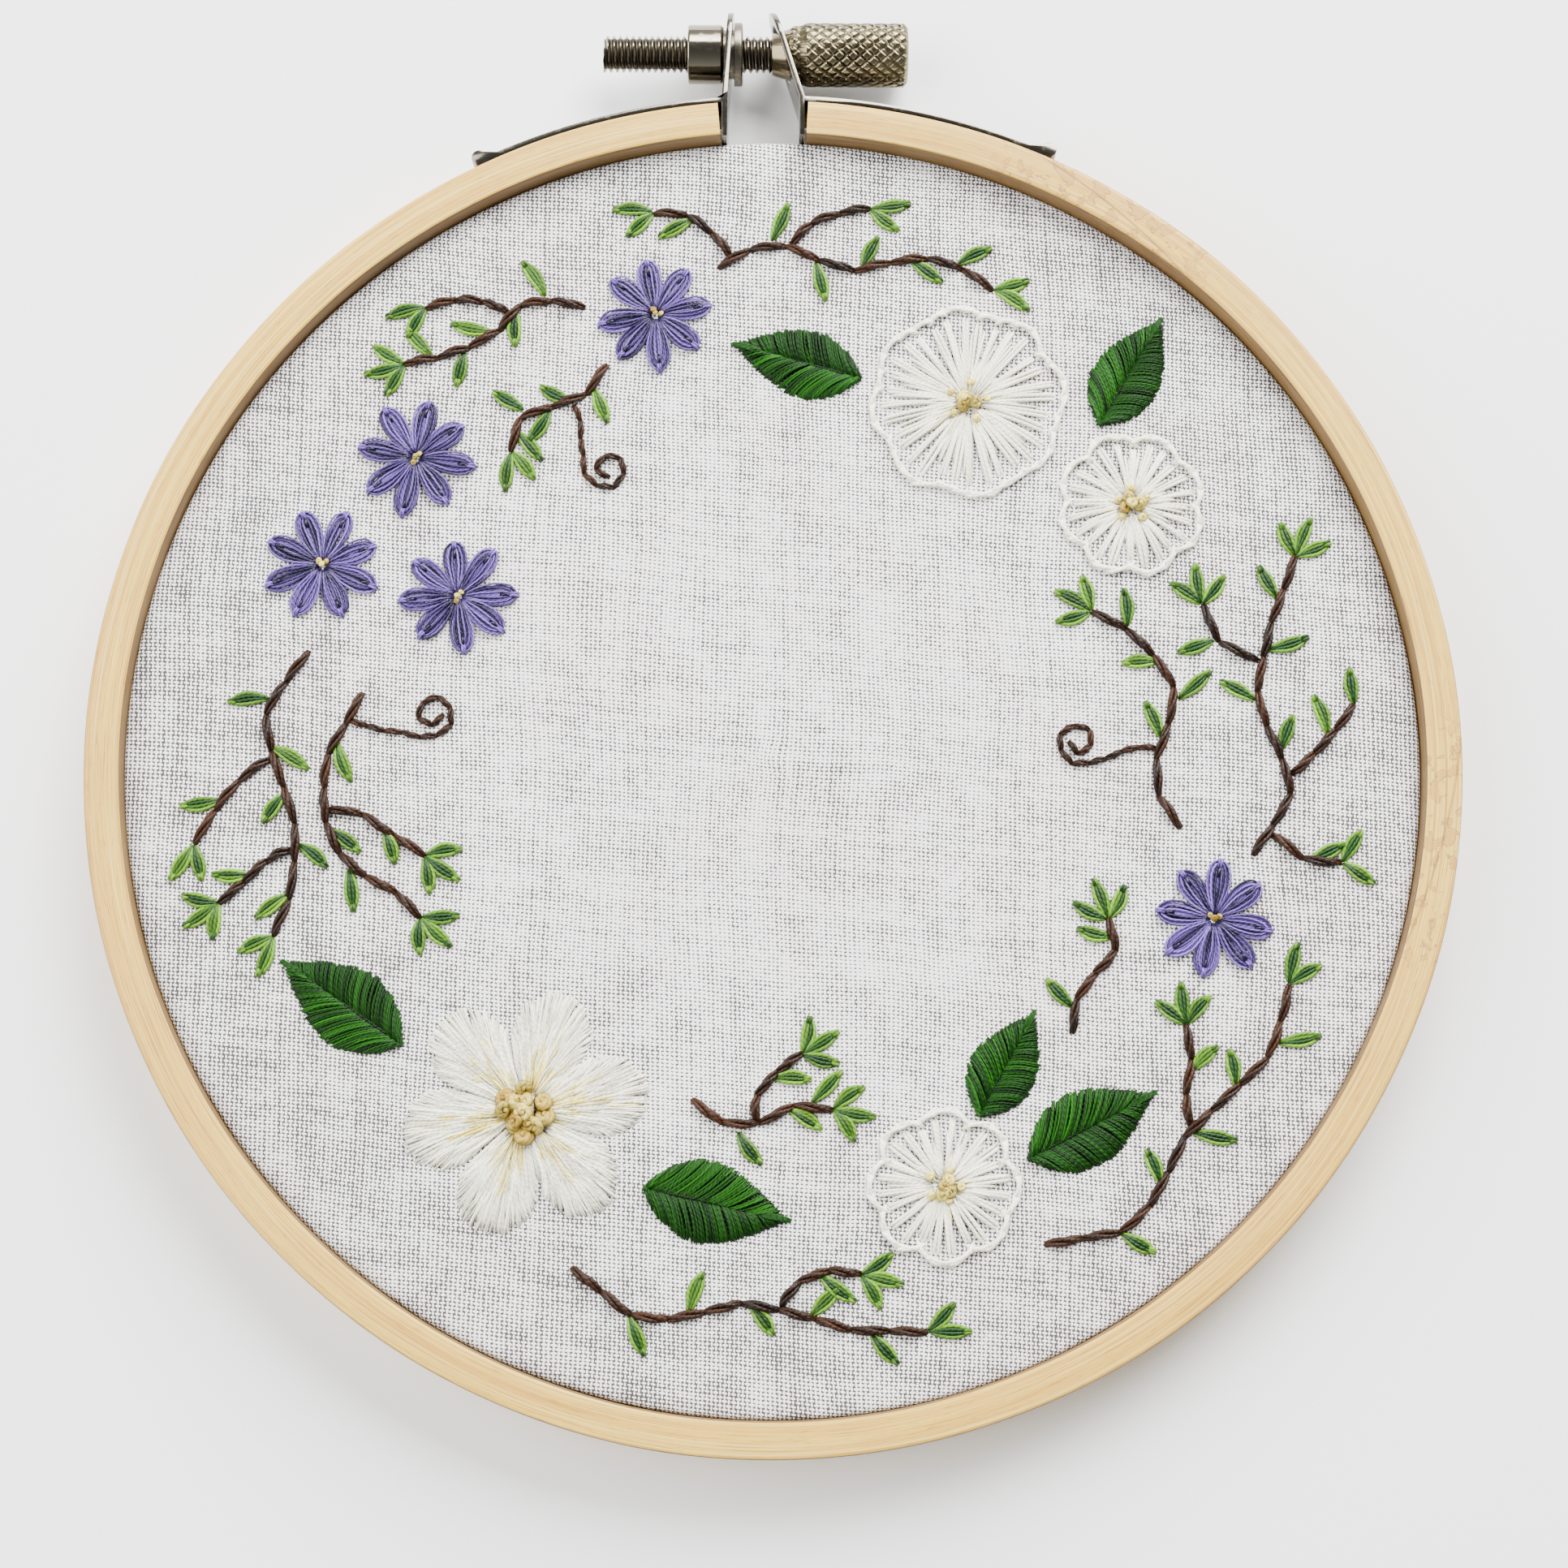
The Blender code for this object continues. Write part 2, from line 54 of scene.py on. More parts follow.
HOOP_Y = (cloth_low.y + cloth_high.y) / 2
RING_OUTSIDE = (ring_high.x - ring_low.x) / 2
RING_WALL = 3.8 * MM
RING_TOP = ring_high.z
CLOTH_TOP = cloth_high.z
print("hoop", round(RING_OUTSIDE * 2000, 1), "mm across, middle at y", round(HOOP_Y * 1000, 2), "mm")

# %% [markdown]
# The camera looks down on the hoop from about a third of a metre, a little from its foot, as the
# photograph does. Its place and turn were worked out from the outline of the ring, so they are
# given as a matrix: the camera's right, its up and its back, each as a direction in the hoop's frame.

# %% Camera
camera_data = bpy.data.cameras.new("camera")
camera = bpy.data.objects.new("camera", camera_data)
bpy.context.scene.collection.objects.link(camera)
right = Vector((0.99996, 0.00779, -0.00477))
up = Vector((-0.00686, 0.98521, 0.17120))
back = Vector((0.00603, -0.17116, 0.98522))
turn = Matrix((right, up, back)).transposed().to_4x4()
camera.matrix_world = Matrix.Translation((0.00193, HOOP_Y - 0.05472, 0.32198)) @ turn
camera_data.sensor_width = 36.0
camera_data.lens = 69.97
camera_data.shift_x = 0.00763
camera_data.shift_y = -0.01728
camera_data.clip_start = 0.01
bpy.context.scene.camera = camera
print("camera lens", camera_data.lens, "mm")

# %% [markdown]
# A product photograph of needlework uses a big soft light from one side, so that each thread has a
# lit side and a shaded one, and a weaker one to fill. The room round them is lighter towards its
# walls than overhead, which gives round metal a dark middle and light edges. The floor is a pale
# card. It is part of the stage and not of the object.

# %% Lights and floor


def area_light(name, place, size, power):
    data = bpy.data.lights.new(name, "AREA")
    data.shape = "SQUARE"
    data.size = size
    data.energy = power
    light = bpy.data.objects.new(name, data)
    bpy.context.scene.collection.objects.link(light)
    light.location = place
    aim = Vector((0.0, HOOP_Y, 0.0)) - Vector(place)
    light.rotation_euler = aim.to_track_quat("-Z", "Y").to_euler()


area_light("window_light", (0.30, 0.72, 0.60), 0.75, 44.0)
area_light("fill_light", (-0.62, 0.05, 0.55), 0.85, 16.0)
world = bpy.data.worlds.new("studio")
world.use_nodes = True
room = world.node_tree
toward = room.nodes.new("ShaderNodeTexCoord")
upward = room.nodes.new("ShaderNodeSeparateXYZ")
fall_off = room.nodes.new("ShaderNodeMapRange")
for number, setting in zip((1, 2, 3, 4), (0.0, 1.0, 1.15, 0.22)):
    fall_off.inputs[number].default_value = setting
room.links.new(toward.outputs["Generated"], upward.inputs[0])
room.links.new(upward.outputs["Z"], fall_off.inputs[0])
room.nodes["Background"].inputs["Color"].default_value = (0.96, 0.98, 1.0, 1.0)
room.links.new(fall_off.outputs[0], room.nodes["Background"].inputs["Strength"])
bpy.context.scene.world = world

bpy.ops.object.select_all(action="DESELECT")
bpy.ops.mesh.primitive_plane_add(size=3.0, location=(0.0, 0.0, -0.0002))
floor = bpy.context.object
floor.name = "floor"
card = bpy.data.materials.new("pale_card")
card.use_nodes = True
card.node_tree.nodes["Principled BSDF"].inputs["Base Color"].default_value = (0.97, 0.97, 0.97, 1.0)
card.node_tree.nodes["Principled BSDF"].inputs["Roughness"].default_value = 0.9
floor.data.materials.append(card)

# %% [markdown]
# A material in Blender is a small network of nodes. These helpers keep the networks short to
# write: one adds a node and sets its sockets, one makes a group that several materials share,
# and one makes a finished Principled material whose colour, roughness and bump come from a group.

# %% Node helpers


def add_node(tree, kind, **settings):
    """Adds a node. Names that start with in_ set its input sockets by number, the rest its settings."""
    node = tree.nodes.new(kind)
    for key, value in settings.items():
        if key.startswith("in_"):
            socket = node.inputs[int(key[3:])]
            if isinstance(value, bpy.types.NodeSocket):
                tree.links.new(value, socket)
            else:
                socket.default_value = value
        else:
            setattr(node, key, value)
    return node


def maths(tree, operation, first, second=0.0, third=0.0):
    node = add_node(tree, "ShaderNodeMath", operation=operation, in_0=first, in_1=second)
    if operation in ("MULTIPLY_ADD", "SMOOTH_MIN", "SMOOTH_MAX", "COMPARE"):
        socket = node.inputs[2]
        if isinstance(third, bpy.types.NodeSocket):
            tree.links.new(third, socket)
        else:
            socket.default_value = third
    return node.outputs[0]


def blend_colours(tree, factor, first, second, mode="MIX"):
    node = tree.nodes.new("ShaderNodeMix")
    node.data_type = "RGBA"
    node.blend_type = mode
    for socket, value in ((node.inputs[0], factor), (node.inputs[6], first), (node.inputs[7], second)):
        if isinstance(value, bpy.types.NodeSocket):
            tree.links.new(value, socket)
        else:
            socket.default_value = value
    return node.outputs[2]


def ramp(tree, value, low, high, low_out=0.0, high_out=1.0):
    """Maps low..high of a value to low_out..high_out, with soft ends."""
    node = add_node(tree, "ShaderNodeMapRange", interpolation_type="SMOOTHSTEP", in_0=value)
    for number, setting in zip((1, 2, 3, 4), (low, high, low_out, high_out)):
        node.inputs[number].default_value = setting
    return node.outputs[0]


def noise_node(tree, source, scale, detail=2.0):
    """Noise over the places that the source gives. More detail adds finer steps."""
    node = add_node(tree, "ShaderNodeTexNoise", in_0=source)
    node.inputs["Scale"].default_value = scale
    node.inputs["Detail"].default_value = detail
    return node


def noise_shift(tree, noise, amount):
    """A noise's colour as a shift of up to half the amount each way."""
    centred = add_node(tree, "ShaderNodeVectorMath", operation="SUBTRACT", in_0=noise.outputs["Color"])
    centred.inputs[1].default_value = (0.5, 0.5, 0.5)
    scaled = add_node(tree, "ShaderNodeVectorMath", operation="SCALE", in_0=centred.outputs[0])
    scaled.inputs["Scale"].default_value = amount
    return scaled.outputs[0]


def new_group(name, inputs, outputs):
    """A shader node group with the named sockets: (name, kind, default) in, (name, kind) out."""
    group = bpy.data.node_groups.new(name, "ShaderNodeTree")
    kinds = {"value": "NodeSocketFloat", "colour": "NodeSocketColor", "vector": "NodeSocketVector"}
    for title, kind, default in inputs:
        socket = group.interface.new_socket(title, in_out="INPUT", socket_type=kinds[kind])
        if default is not None:
            socket.default_value = default
    for title, kind in outputs:
        group.interface.new_socket(title, in_out="OUTPUT", socket_type=kinds[kind])
    return group, group.nodes.new("NodeGroupInput"), group.nodes.new("NodeGroupOutput")


def finish_material(name, group, settings, roughness=0.6, metallic=0.0, gloss=0.5, bump=0.3, depth=0.0001):
    """A Principled material fed by a group's Colour, Height and, where it has one, Roughness."""
    material = bpy.data.materials.new(name)
    material.use_nodes = True
    tree = material.node_tree
    shader = tree.nodes["Principled BSDF"]
    node = add_node(tree, "ShaderNodeGroup", node_tree=group)
    for title, value in settings.items():
        node.inputs[title].default_value = value
    tree.links.new(node.outputs["Colour"], shader.inputs["Base Color"])
    shader.inputs["Roughness"].default_value = roughness
    if "Roughness" in node.outputs:
        tree.links.new(node.outputs["Roughness"], shader.inputs["Roughness"])
    shader.inputs["Metallic"].default_value = metallic
    shader.inputs["Specular IOR Level"].default_value = gloss
    relief = add_node(tree, "ShaderNodeBump", in_0=bump, in_1=depth)
    tree.links.new(node.outputs["Height"], relief.inputs["Height"])
    tree.links.new(relief.outputs["Normal"], shader.inputs["Normal"])
    return material


def colour(red, green, blue):
    """A screen colour of 0 to 255 as the linear colour that a shader wants."""
    linear = [((c / 255 + 0.055) / 1.055) ** 2.4 if c > 10 else c / 255 / 12.92 for c in (red, green, blue)]
    return (*linear, 1.0)


# %% [markdown]
# Embroidery thread is a loose twist of shiny cotton strands. One node group makes that look for
# every colour: fine stripes wind round the thread, with painted shade in the grooves between them,
# each thread is a little lighter or darker than its neighbour, and a second colour comes in where
# the dye changes or where a petal turns cream. The stripes read the thread's own UV map, which holds
# millimetres along it and turns round it. The same map tells the top of a thread from its flanks,
# which are darkened with painted shade, as if shaded by the threads that lie close beside them.

# %% Thread finish
group, given, result = new_group(
    "Twisted floss",
    [("Thread", "colour", None), ("Second", "colour", None), ("Painted groove shade", "value", 0.25),
     ("Painted flank shade", "value", 0.4)],
    [("Colour", "colour"), ("Height", "value"), ("Roughness", "value")],
)
uv = add_node(group, "ShaderNodeUVMap", uv_map="thread")
split = add_node(group, "ShaderNodeSeparateXYZ", in_0=uv.outputs[0])
winding = maths(group, "MULTIPLY_ADD", split.outputs[0], 0.85, split.outputs[1])
stripes = maths(group, "SINE", maths(group, "MULTIPLY", winding, 2 * math.tau))
stripes = ramp(group, stripes, -1.0, 0.6)
shade = add_node(group, "ShaderNodeAttribute", attribute_name="shade").outputs["Fac"]
tone = add_node(group, "ShaderNodeAttribute", attribute_name="tone").outputs["Fac"]
body = blend_colours(group, tone, given.outputs["Thread"], given.outputs["Second"])
# Painted shade: the flanks, low on the thread's turn, are darkened, and so are the grooves between the
# stripes.
upward = maths(group, "SINE", maths(group, "MULTIPLY", split.outputs[1], math.tau))
painted_flank_shade = maths(group, "MULTIPLY", ramp(group, upward, -0.35, 0.85, 1.0, 0.0), given.outputs["Painted flank shade"])
depth = maths(group, "MULTIPLY_ADD", maths(group, "SUBTRACT", 1.0, stripes), given.outputs["Painted groove shade"], painted_flank_shade)
light = maths(group, "SUBTRACT", maths(group, "MULTIPLY_ADD", shade, 0.62, 0.62), depth)
grey = add_node(group, "ShaderNodeCombineColor", in_0=light, in_1=light, in_2=light)
tinted = blend_colours(group, 1.0, body, grey.outputs[0], "MULTIPLY")
group.links.new(tinted, result.inputs["Colour"])
group.links.new(stripes, result.inputs["Height"])
group.links.new(maths(group, "MULTIPLY_ADD", shade, 0.15, 0.38), result.inputs["Roughness"])
floss = group

# Each colour: the thread, its second dye, how dark the painted shade in its grooves and on its flanks is, and
# its gloss.
THREAD_COLOURS = {
    "white": (colour(254, 252, 230), colour(244, 222, 94), 0.16, 0.40, 0.35),
    "cream": (colour(240, 220, 112), colour(158, 126, 42), 0.28, 0.55, 0.28),
    "green": (colour(6, 33, 3), colour(29, 88, 9), 0.42, 0.50, 0.12),
    "leaflet": (colour(102, 152, 30), colour(15, 52, 9), 0.30, 0.40, 0.26),
    "purple": (colour(117, 90, 176), colour(20, 7, 50), 0.44, 0.78, 0.35),
    "brown": (colour(54, 27, 7), colour(24, 11, 3), 0.35, 0.40, 0.20),
}
thread_materials = {}
for name, (main, second, groove, painted_flank_shade, gloss) in THREAD_COLOURS.items():
    thread_materials[name] = finish_material(
        name + "_floss", floss, {"Thread": main, "Second": second, "Painted groove shade": groove, "Painted flank shade": painted_flank_shade},
        gloss=gloss, bump=0.6, depth=0.00006,
    )
print("thread colours", list(thread_materials))

# %% [markdown]
# The cloth is plain-woven cotton: threads cross one over, one under, and a small hole shows where
# four of them meet, painted dark as painted shade seen through it. The group works that out from the
# place on the cloth. Two rounded profiles cross, each rises where the other dips, and the higher one
# is what shows; its low parts are darkened with painted shade. The warp is slimmer than the weft, so
# the holes are short dashes. No two threads are quite as thick, so every thread and every hole gets
# its own random number, and slow noise bends the threads a little. Towards the rim, where the hoop
# pulls hardest, the holes open wider, and their painted shade darkens the cloth there.

# %% Woven cotton finish
WARP_SPACING, WEFT_SPACING = 0.473, 0.405
group, given, result = new_group(
    "Plain weave",
    [("Warp spacing", "value", WARP_SPACING), ("Weft spacing", "value", WEFT_SPACING),
     ("Cotton", "colour", None), ("Painted hole shade", "colour", None)],
    [("Colour", "colour"), ("Height", "value")],
)
uv = add_node(group, "ShaderNodeUVMap", uv_map="weave")
far = noise_shift(group, noise_node(group, uv.outputs[0], 0.035, 1.0), 2.6)
near = noise_shift(group, noise_node(group, uv.outputs[0], 0.6, 1.0), 0.13)
moved = add_node(group, "ShaderNodeVectorMath", operation="ADD", in_0=uv.outputs[0], in_1=far)
moved = add_node(group, "ShaderNodeVectorMath", operation="ADD", in_0=moved.outputs[0], in_1=near)
split = add_node(group, "ShaderNodeSeparateXYZ", in_0=moved.outputs[0])
across = maths(group, "DIVIDE", split.outputs[0], given.outputs["Warp spacing"])
along = maths(group, "DIVIDE", split.outputs[1], given.outputs["Weft spacing"])


def thread_profile(tree, position, slimness):
    """1 on a thread's crown, falling to its sides, and lower between slim threads."""
    saw = maths(tree, "SUBTRACT", maths(tree, "MULTIPLY", maths(tree, "FRACT", position), 2.0), 1.0)
    saw = maths(tree, "MULTIPLY", saw, slimness)
    return maths(tree, "SUBTRACT", 1.0, maths(tree, "MULTIPLY", saw, saw))


def over_under(tree, position, number):
    """Swings between 1, over, and -1, under, once every two crossings."""
    return maths(tree, "SINE", maths(tree, "MULTIPLY", maths(tree, "SUBTRACT", position, number), math.pi))


warp_swing = over_under(group, along, maths(group, "FLOOR", across))
weft_swing = over_under(group, across, maths(group, "FLOOR", along))
warp = maths(group, "MULTIPLY", thread_profile(group, across, 1.2),
             maths(group, "MULTIPLY_ADD", warp_swing, 0.28, 0.72))
weft = maths(group, "MULTIPLY", thread_profile(group, along, 0.88),
             maths(group, "MULTIPLY_ADD", weft_swing, -0.28, 0.72))
height = maths(group, "MAXIMUM", warp, weft)
slub = noise_node(group, uv.outputs[0], 0.22)
warp_number = maths(group, "FLOOR", maths(group, "ADD", across, 0.5))
weft_number = maths(group, "FLOOR", maths(group, "ADD", along, 0.5))
hole_number = add_node(group, "ShaderNodeCombineXYZ", in_0=warp_number, in_1=weft_number)
each_hole = add_node(group, "ShaderNodeTexWhiteNoise", noise_dimensions="3D", in_0=hole_number.outputs[0])
each_warp = add_node(group, "ShaderNodeTexWhiteNoise", noise_dimensions="1D", in_1=warp_number)
weft_number = maths(group, "ADD", weft_number, 999.0)
each_weft = add_node(group, "ShaderNodeTexWhiteNoise", noise_dimensions="1D", in_1=weft_number)
hole_edge = maths(group, "MULTIPLY_ADD", slub.outputs["Fac"], 0.34, 0.17)
hole_edge = maths(group, "MULTIPLY_ADD", each_hole.outputs["Value"], 0.14, hole_edge)
hole_edge = maths(group, "MULTIPLY_ADD", each_warp.outputs["Value"], 0.08, hole_edge)
hole_edge = maths(group, "MULTIPLY_ADD", each_weft.outputs["Value"], 0.08, hole_edge)
from_middle = add_node(group, "ShaderNodeVectorMath", operation="LENGTH", in_0=uv.outputs[0])
hole_edge = maths(group, "ADD", hole_edge, ramp(group, from_middle.outputs["Value"], 20.0, 62.0, 0.04, 0.14))
open_hole = maths(group, "SUBTRACT", hole_edge, height)
hole = ramp(group, open_hole, -0.10, 0.10, 0.0, 1.0)
cloud = ramp(group, noise_node(group, uv.outputs[0], 0.05).outputs["Fac"], 0.35, 0.65, 0.0, 0.5)
warm = blend_colours(group, cloud, given.outputs["Cotton"], colour(245, 235, 233))
# Painted shade: the low parts of the weave, where one thread dips under another, are darkened towards grey.
weave_with_painted_shade = blend_colours(group, ramp(group, height, 0.30, 0.95, 0.26, 0.0), warm, colour(176, 168, 162))
# The holes take a dark colour, which is painted shade: the shade seen through the openings.
group.links.new(blend_colours(group, hole, weave_with_painted_shade, given.outputs["Painted hole shade"]), result.inputs["Colour"])
group.links.new(height, result.inputs["Height"])
cotton = finish_material(
    "stretched_cotton", group, {"Cotton": colour(251, 249, 247), "Painted hole shade": colour(74, 70, 70)},
    roughness=0.9, gloss=0.3, bump=0.5, depth=0.00012,
)
print("weave", WARP_SPACING, "by", WEFT_SPACING, "mm")

# %% [markdown]
# The rings are strips of bamboo, bent round and glued where their ends overlap on a long slant.
# Bamboo has straight, fine, dark fibres along its length and soft bands of colour. The group
# stretches noise along the strip, using a UV map of millimetres along and across it, and stains
# the glued joints, where some glue was left on the face in a thin crust. Thin pale lines along the
# strip are painted highlights, where the ridges between its facets catch the light. The strip's
# inner side is darkened with painted shade, brown and mottled by the fibre noise.

# %% Bamboo finish
OUTER_SIDE, INNER_SIDE = 12.0, 20.0
JOINT_LENGTH, STRIP_WIDTH = 24.0, 3.8
group, given, result = new_group(
    "Bent bamboo",
    [("Pale", "colour", None), ("Fibre", "colour", None), ("Joint", "value", 130.0),
     ("Second joint", "value", 260.0)],
    [("Colour", "colour"), ("Height", "value"), ("Roughness", "value")],
)
uv = add_node(group, "ShaderNodeUVMap", uv_map="grain")
split = add_node(group, "ShaderNodeSeparateXYZ", in_0=uv.outputs[0])


def stretched_noise(tree, source, along_scale, across_scale, detail):
    stretch = add_node(tree, "ShaderNodeMapping", in_0=source)
    stretch.inputs["Scale"].default_value = (along_scale, across_scale, 1.0)
    return noise_node(tree, stretch.outputs[0], 1.0, detail).outputs["Fac"]


bands = stretched_noise(group, uv.outputs[0], 0.012, 0.9, 3.0)
fibres = stretched_noise(group, uv.outputs[0], 0.10, 9.0, 4.0)
flecks = stretched_noise(group, uv.outputs[0], 0.45, 11.0, 2.0)
ridges = stretched_noise(group, uv.outputs[0], 0.006, 1.7, 2.0)
wood = blend_colours(group, ramp(group, bands, 0.32, 0.68, 0.0, 0.8), given.outputs["Pale"],
                     colour(194, 145, 56))
wood = blend_colours(group, ramp(group, fibres, 0.48, 0.68, 0.0, 0.62), wood, given.outputs["Fibre"])
wood = blend_colours(group, ramp(group, flecks, 0.60, 0.71, 0.0, 0.70), wood, colour(128, 86, 38))
# Painted highlight: thin pale lines along the strip, where the ridges between its facets would catch the
# light.
painted_ridge_highlight = maths(group, "ABSOLUTE", maths(group, "SUBTRACT", ridges, 0.5))
wood = blend_colours(group, ramp(group, painted_ridge_highlight, 0.0, 0.035, 0.55, 0.0), wood, colour(238, 208, 122))


def joint_line(tree, along, across, start):
    """A thin dark line that crosses the strip on a long slant, from one edge to the other."""
    run = maths(tree, "DIVIDE", maths(tree, "SUBTRACT", along, start), JOINT_LENGTH)
    wanted = maths(tree, "MULTIPLY", run, STRIP_WIDTH)
    apart = maths(tree, "ABSOLUTE", maths(tree, "SUBTRACT", across, wanted))
    line = ramp(tree, apart, 0.04, 0.22, 1.0, 0.0)
    inside = maths(tree, "MULTIPLY", ramp(tree, run, 0.0, 0.03), ramp(tree, run, 0.97, 1.0, 1.0, 0.0))
    window = maths(tree, "MULTIPLY", ramp(tree, run, -0.25, 0.1), ramp(tree, run, 0.9, 1.2, 1.0, 0.0))
    return maths(tree, "MULTIPLY", line, inside), window


first, first_window = joint_line(group, split.outputs[0], split.outputs[1], given.outputs["Joint"])
second, second_window = joint_line(group, split.outputs[0], split.outputs[1], given.outputs["Second joint"])
glue_noise = noise_node(group, uv.outputs[0], 0.55, 5.0)
joint_area = maths(group, "MAXIMUM", first_window, second_window)
glue = maths(group, "MULTIPLY", joint_area, ramp(group, glue_noise.outputs["Fac"], 0.50, 0.62, 0.0, 0.6))
wood = blend_colours(group, glue, wood, colour(176, 130, 62))
crust_edge = maths(group, "ABSOLUTE", maths(group, "SUBTRACT", glue_noise.outputs["Fac"], 0.56))
crust = maths(group, "MULTIPLY", joint_area, ramp(group, crust_edge, 0.0, 0.022, 1.0, 0.0))
wood = blend_colours(group, maths(group, "MULTIPLY", crust, 0.6), wood, colour(128, 88, 46))
line = maths(group, "MAXIMUM", first, second)
wood = blend_colours(group, maths(group, "MULTIPLY", line, 0.45), wood, colour(97, 69, 39))
# Painted shade: the inner side of the strip is darkened towards brown, mottled by the fibre noise.
painted_inner_wall_shade = maths(group, "MULTIPLY_ADD", fibres, 0.6, 0.6)
painted_inner_wall_shade = maths(group, "MULTIPLY", ramp(group, split.outputs[1], INNER_SIDE - 3.0, INNER_SIDE - 1.0), painted_inner_wall_shade)
wood = blend_colours(group, painted_inner_wall_shade, wood, colour(92, 66, 36))
group.links.new(wood, result.inputs["Colour"])
relief = maths(group, "SUBTRACT", maths(group, "MULTIPLY", fibres, 0.5), maths(group, "MAXIMUM", line, crust))
group.links.new(relief, result.inputs["Height"])
group.links.new(maths(group, "MULTIPLY_ADD", fibres, 0.3, 0.35), result.inputs["Roughness"])
bent_bamboo = group
bamboo = finish_material(
    "bamboo_strip", bent_bamboo,
    {"Pale": colour(221, 180, 74), "Fibre": colour(146, 103, 38), "Joint": 318.0, "Second joint": 402.0},
    gloss=0.4, bump=0.35, depth=0.0001,
)
inner_bamboo = finish_material(
    "inner_bamboo_strip", bent_bamboo,
    {"Pale": colour(210, 164, 78), "Fibre": colour(146, 102, 44), "Joint": 90.0, "Second joint": 300.0},
    gloss=0.4, bump=0.35, depth=0.0001,
)

# %% [markdown]
# The fittings are steel with bright nickel plate. It is smooth and mirror-like, with faint
# scratches and a few dull spots, and it is darker and rougher in the grooves of the thread and the knurling.
# How deep a point lies in a groove is written into the mesh as an attribute when it is modelled.

# %% Nickel finish
group, given, result = new_group(
    "Nickel plate",
    [("Plate", "colour", None), ("Groove colour", "colour", None), ("Polish", "value", 0.16)],
    [("Colour", "colour"), ("Height", "value"), ("Roughness", "value")],
)
place = add_node(group, "ShaderNodeTexCoord")
spots = noise_node(group, place.outputs["Object"], 900.0, 4.0)
smears = noise_node(group, place.outputs["Object"], 160.0, 3.0)
groove = add_node(group, "ShaderNodeAttribute", attribute_name="groove").outputs["Fac"]
smeared = ramp(group, smears.outputs["Fac"], 0.4, 0.7, 0.0, 0.35)
metal = blend_colours(group, smeared, given.outputs["Plate"], colour(108, 98, 80))
# The grooves are darkened towards the groove colour, the deeper the darker.
metal = blend_colours(group, maths(group, "MULTIPLY", groove, 0.75), metal, given.outputs["Groove colour"])
group.links.new(metal, result.inputs["Colour"])
group.links.new(spots.outputs["Fac"], result.inputs["Height"])
dulled = ramp(group, spots.outputs["Fac"], 0.5, 0.75)
rough = maths(group, "MULTIPLY_ADD", dulled, 0.15, given.outputs["Polish"])
group.links.new(maths(group, "MULTIPLY_ADD", groove, 0.25, rough), result.inputs["Roughness"])
nickel = finish_material(
    "bright_nickel", group, {"Plate": colour(134, 127, 112), "Groove colour": colour(30, 25, 18), "Polish": 0.12},
    metallic=1.0, bump=0.05, depth=0.00002,
)
dull_nickel = finish_material(
    "dull_nickel", group, {"Plate": colour(112, 107, 97), "Groove colour": colour(30, 25, 18), "Polish": 0.16},
    metallic=1.0, bump=0.05, depth=0.00002,
)
knurled_nickel = finish_material(
    "knurled_nickel", group, {"Plate": colour(126, 116, 90), "Groove colour": colour(26, 20, 12), "Polish": 0.18},
    metallic=1.0, bump=0.08, depth=0.00002,
)
print("metal finishes", nickel.name, dull_nickel.name, knurled_nickel.name)

# %% [markdown]
# Modelling helpers. Most hard pieces here are a cross-section carried round a circle, which is
# what Blender's Spin does. The helper draws the section as a line of points, spins it, merges the
# points where the turn closes, and turns every face outwards.

# %% Modelling helpers


def only(piece):
    bpy.ops.object.select_all(action="DESELECT")
    piece.select_set(True)
    bpy.context.view_layer.objects.active = piece


def section_line(name, points, closed):
    """A mesh that is only a line of points, ready to be spun."""
    mesh = bpy.data.meshes.new(name)
    edges = [(k, k + 1) for k in range(len(points) - 1)]
    if closed:
        edges.append((len(points) - 1, 0))
    mesh.from_pydata([tuple(p) for p in points], edges, [])
    piece = bpy.data.objects.new(name, mesh)
    bpy.context.scene.collection.objects.link(piece)
    return piece


def clean_faces(piece, merge):
    """Merges points that are closer than merge, and turns every face outwards."""
    only(piece)
    bpy.ops.object.mode_set(mode="EDIT")
    bpy.ops.mesh.select_all(action="SELECT")
    bpy.ops.mesh.remove_doubles(threshold=merge)
    bpy.ops.mesh.normals_make_consistent(inside=False)
    bpy.ops.object.mode_set(mode="OBJECT")


def spin(piece, centre, axis, angle, steps):
    only(piece)
    bpy.ops.object.mode_set(mode="EDIT")
    bpy.ops.mesh.select_all(action="SELECT")
    bpy.ops.mesh.spin(steps=steps, angle=angle, center=centre, axis=axis)
    bpy.ops.object.mode_set(mode="OBJECT")
    clean_faces(piece, 0.000005)


def smooth(piece, degrees=35):
    only(piece)
    bpy.ops.object.shade_smooth_by_angle(angle=math.radians(degrees))


def coordinates(piece):
    flat = np.empty(len(piece.data.vertices) * 3)
    piece.data.vertices.foreach_get("co", flat)
    return flat.reshape(-1, 3)


def set_coordinates(piece, places):
    piece.data.vertices.foreach_set("co", np.asarray(places, dtype=np.float32).ravel())
    piece.data.update()


def loop_data(piece):
    """The vertex number of each face corner, and the normal of the face it belongs to."""
    corners = np.empty(len(piece.data.loops), dtype=np.int64)
    piece.data.loops.foreach_get("vertex_index", corners)
    normals = np.empty(len(piece.data.polygons) * 3)
    piece.data.polygons.foreach_get("normal", normals)
    sizes = np.empty(len(piece.data.polygons), dtype=np.int64)
    piece.data.polygons.foreach_get("loop_total", sizes)
    return corners, np.repeat(normals.reshape(-1, 3), sizes, axis=0)


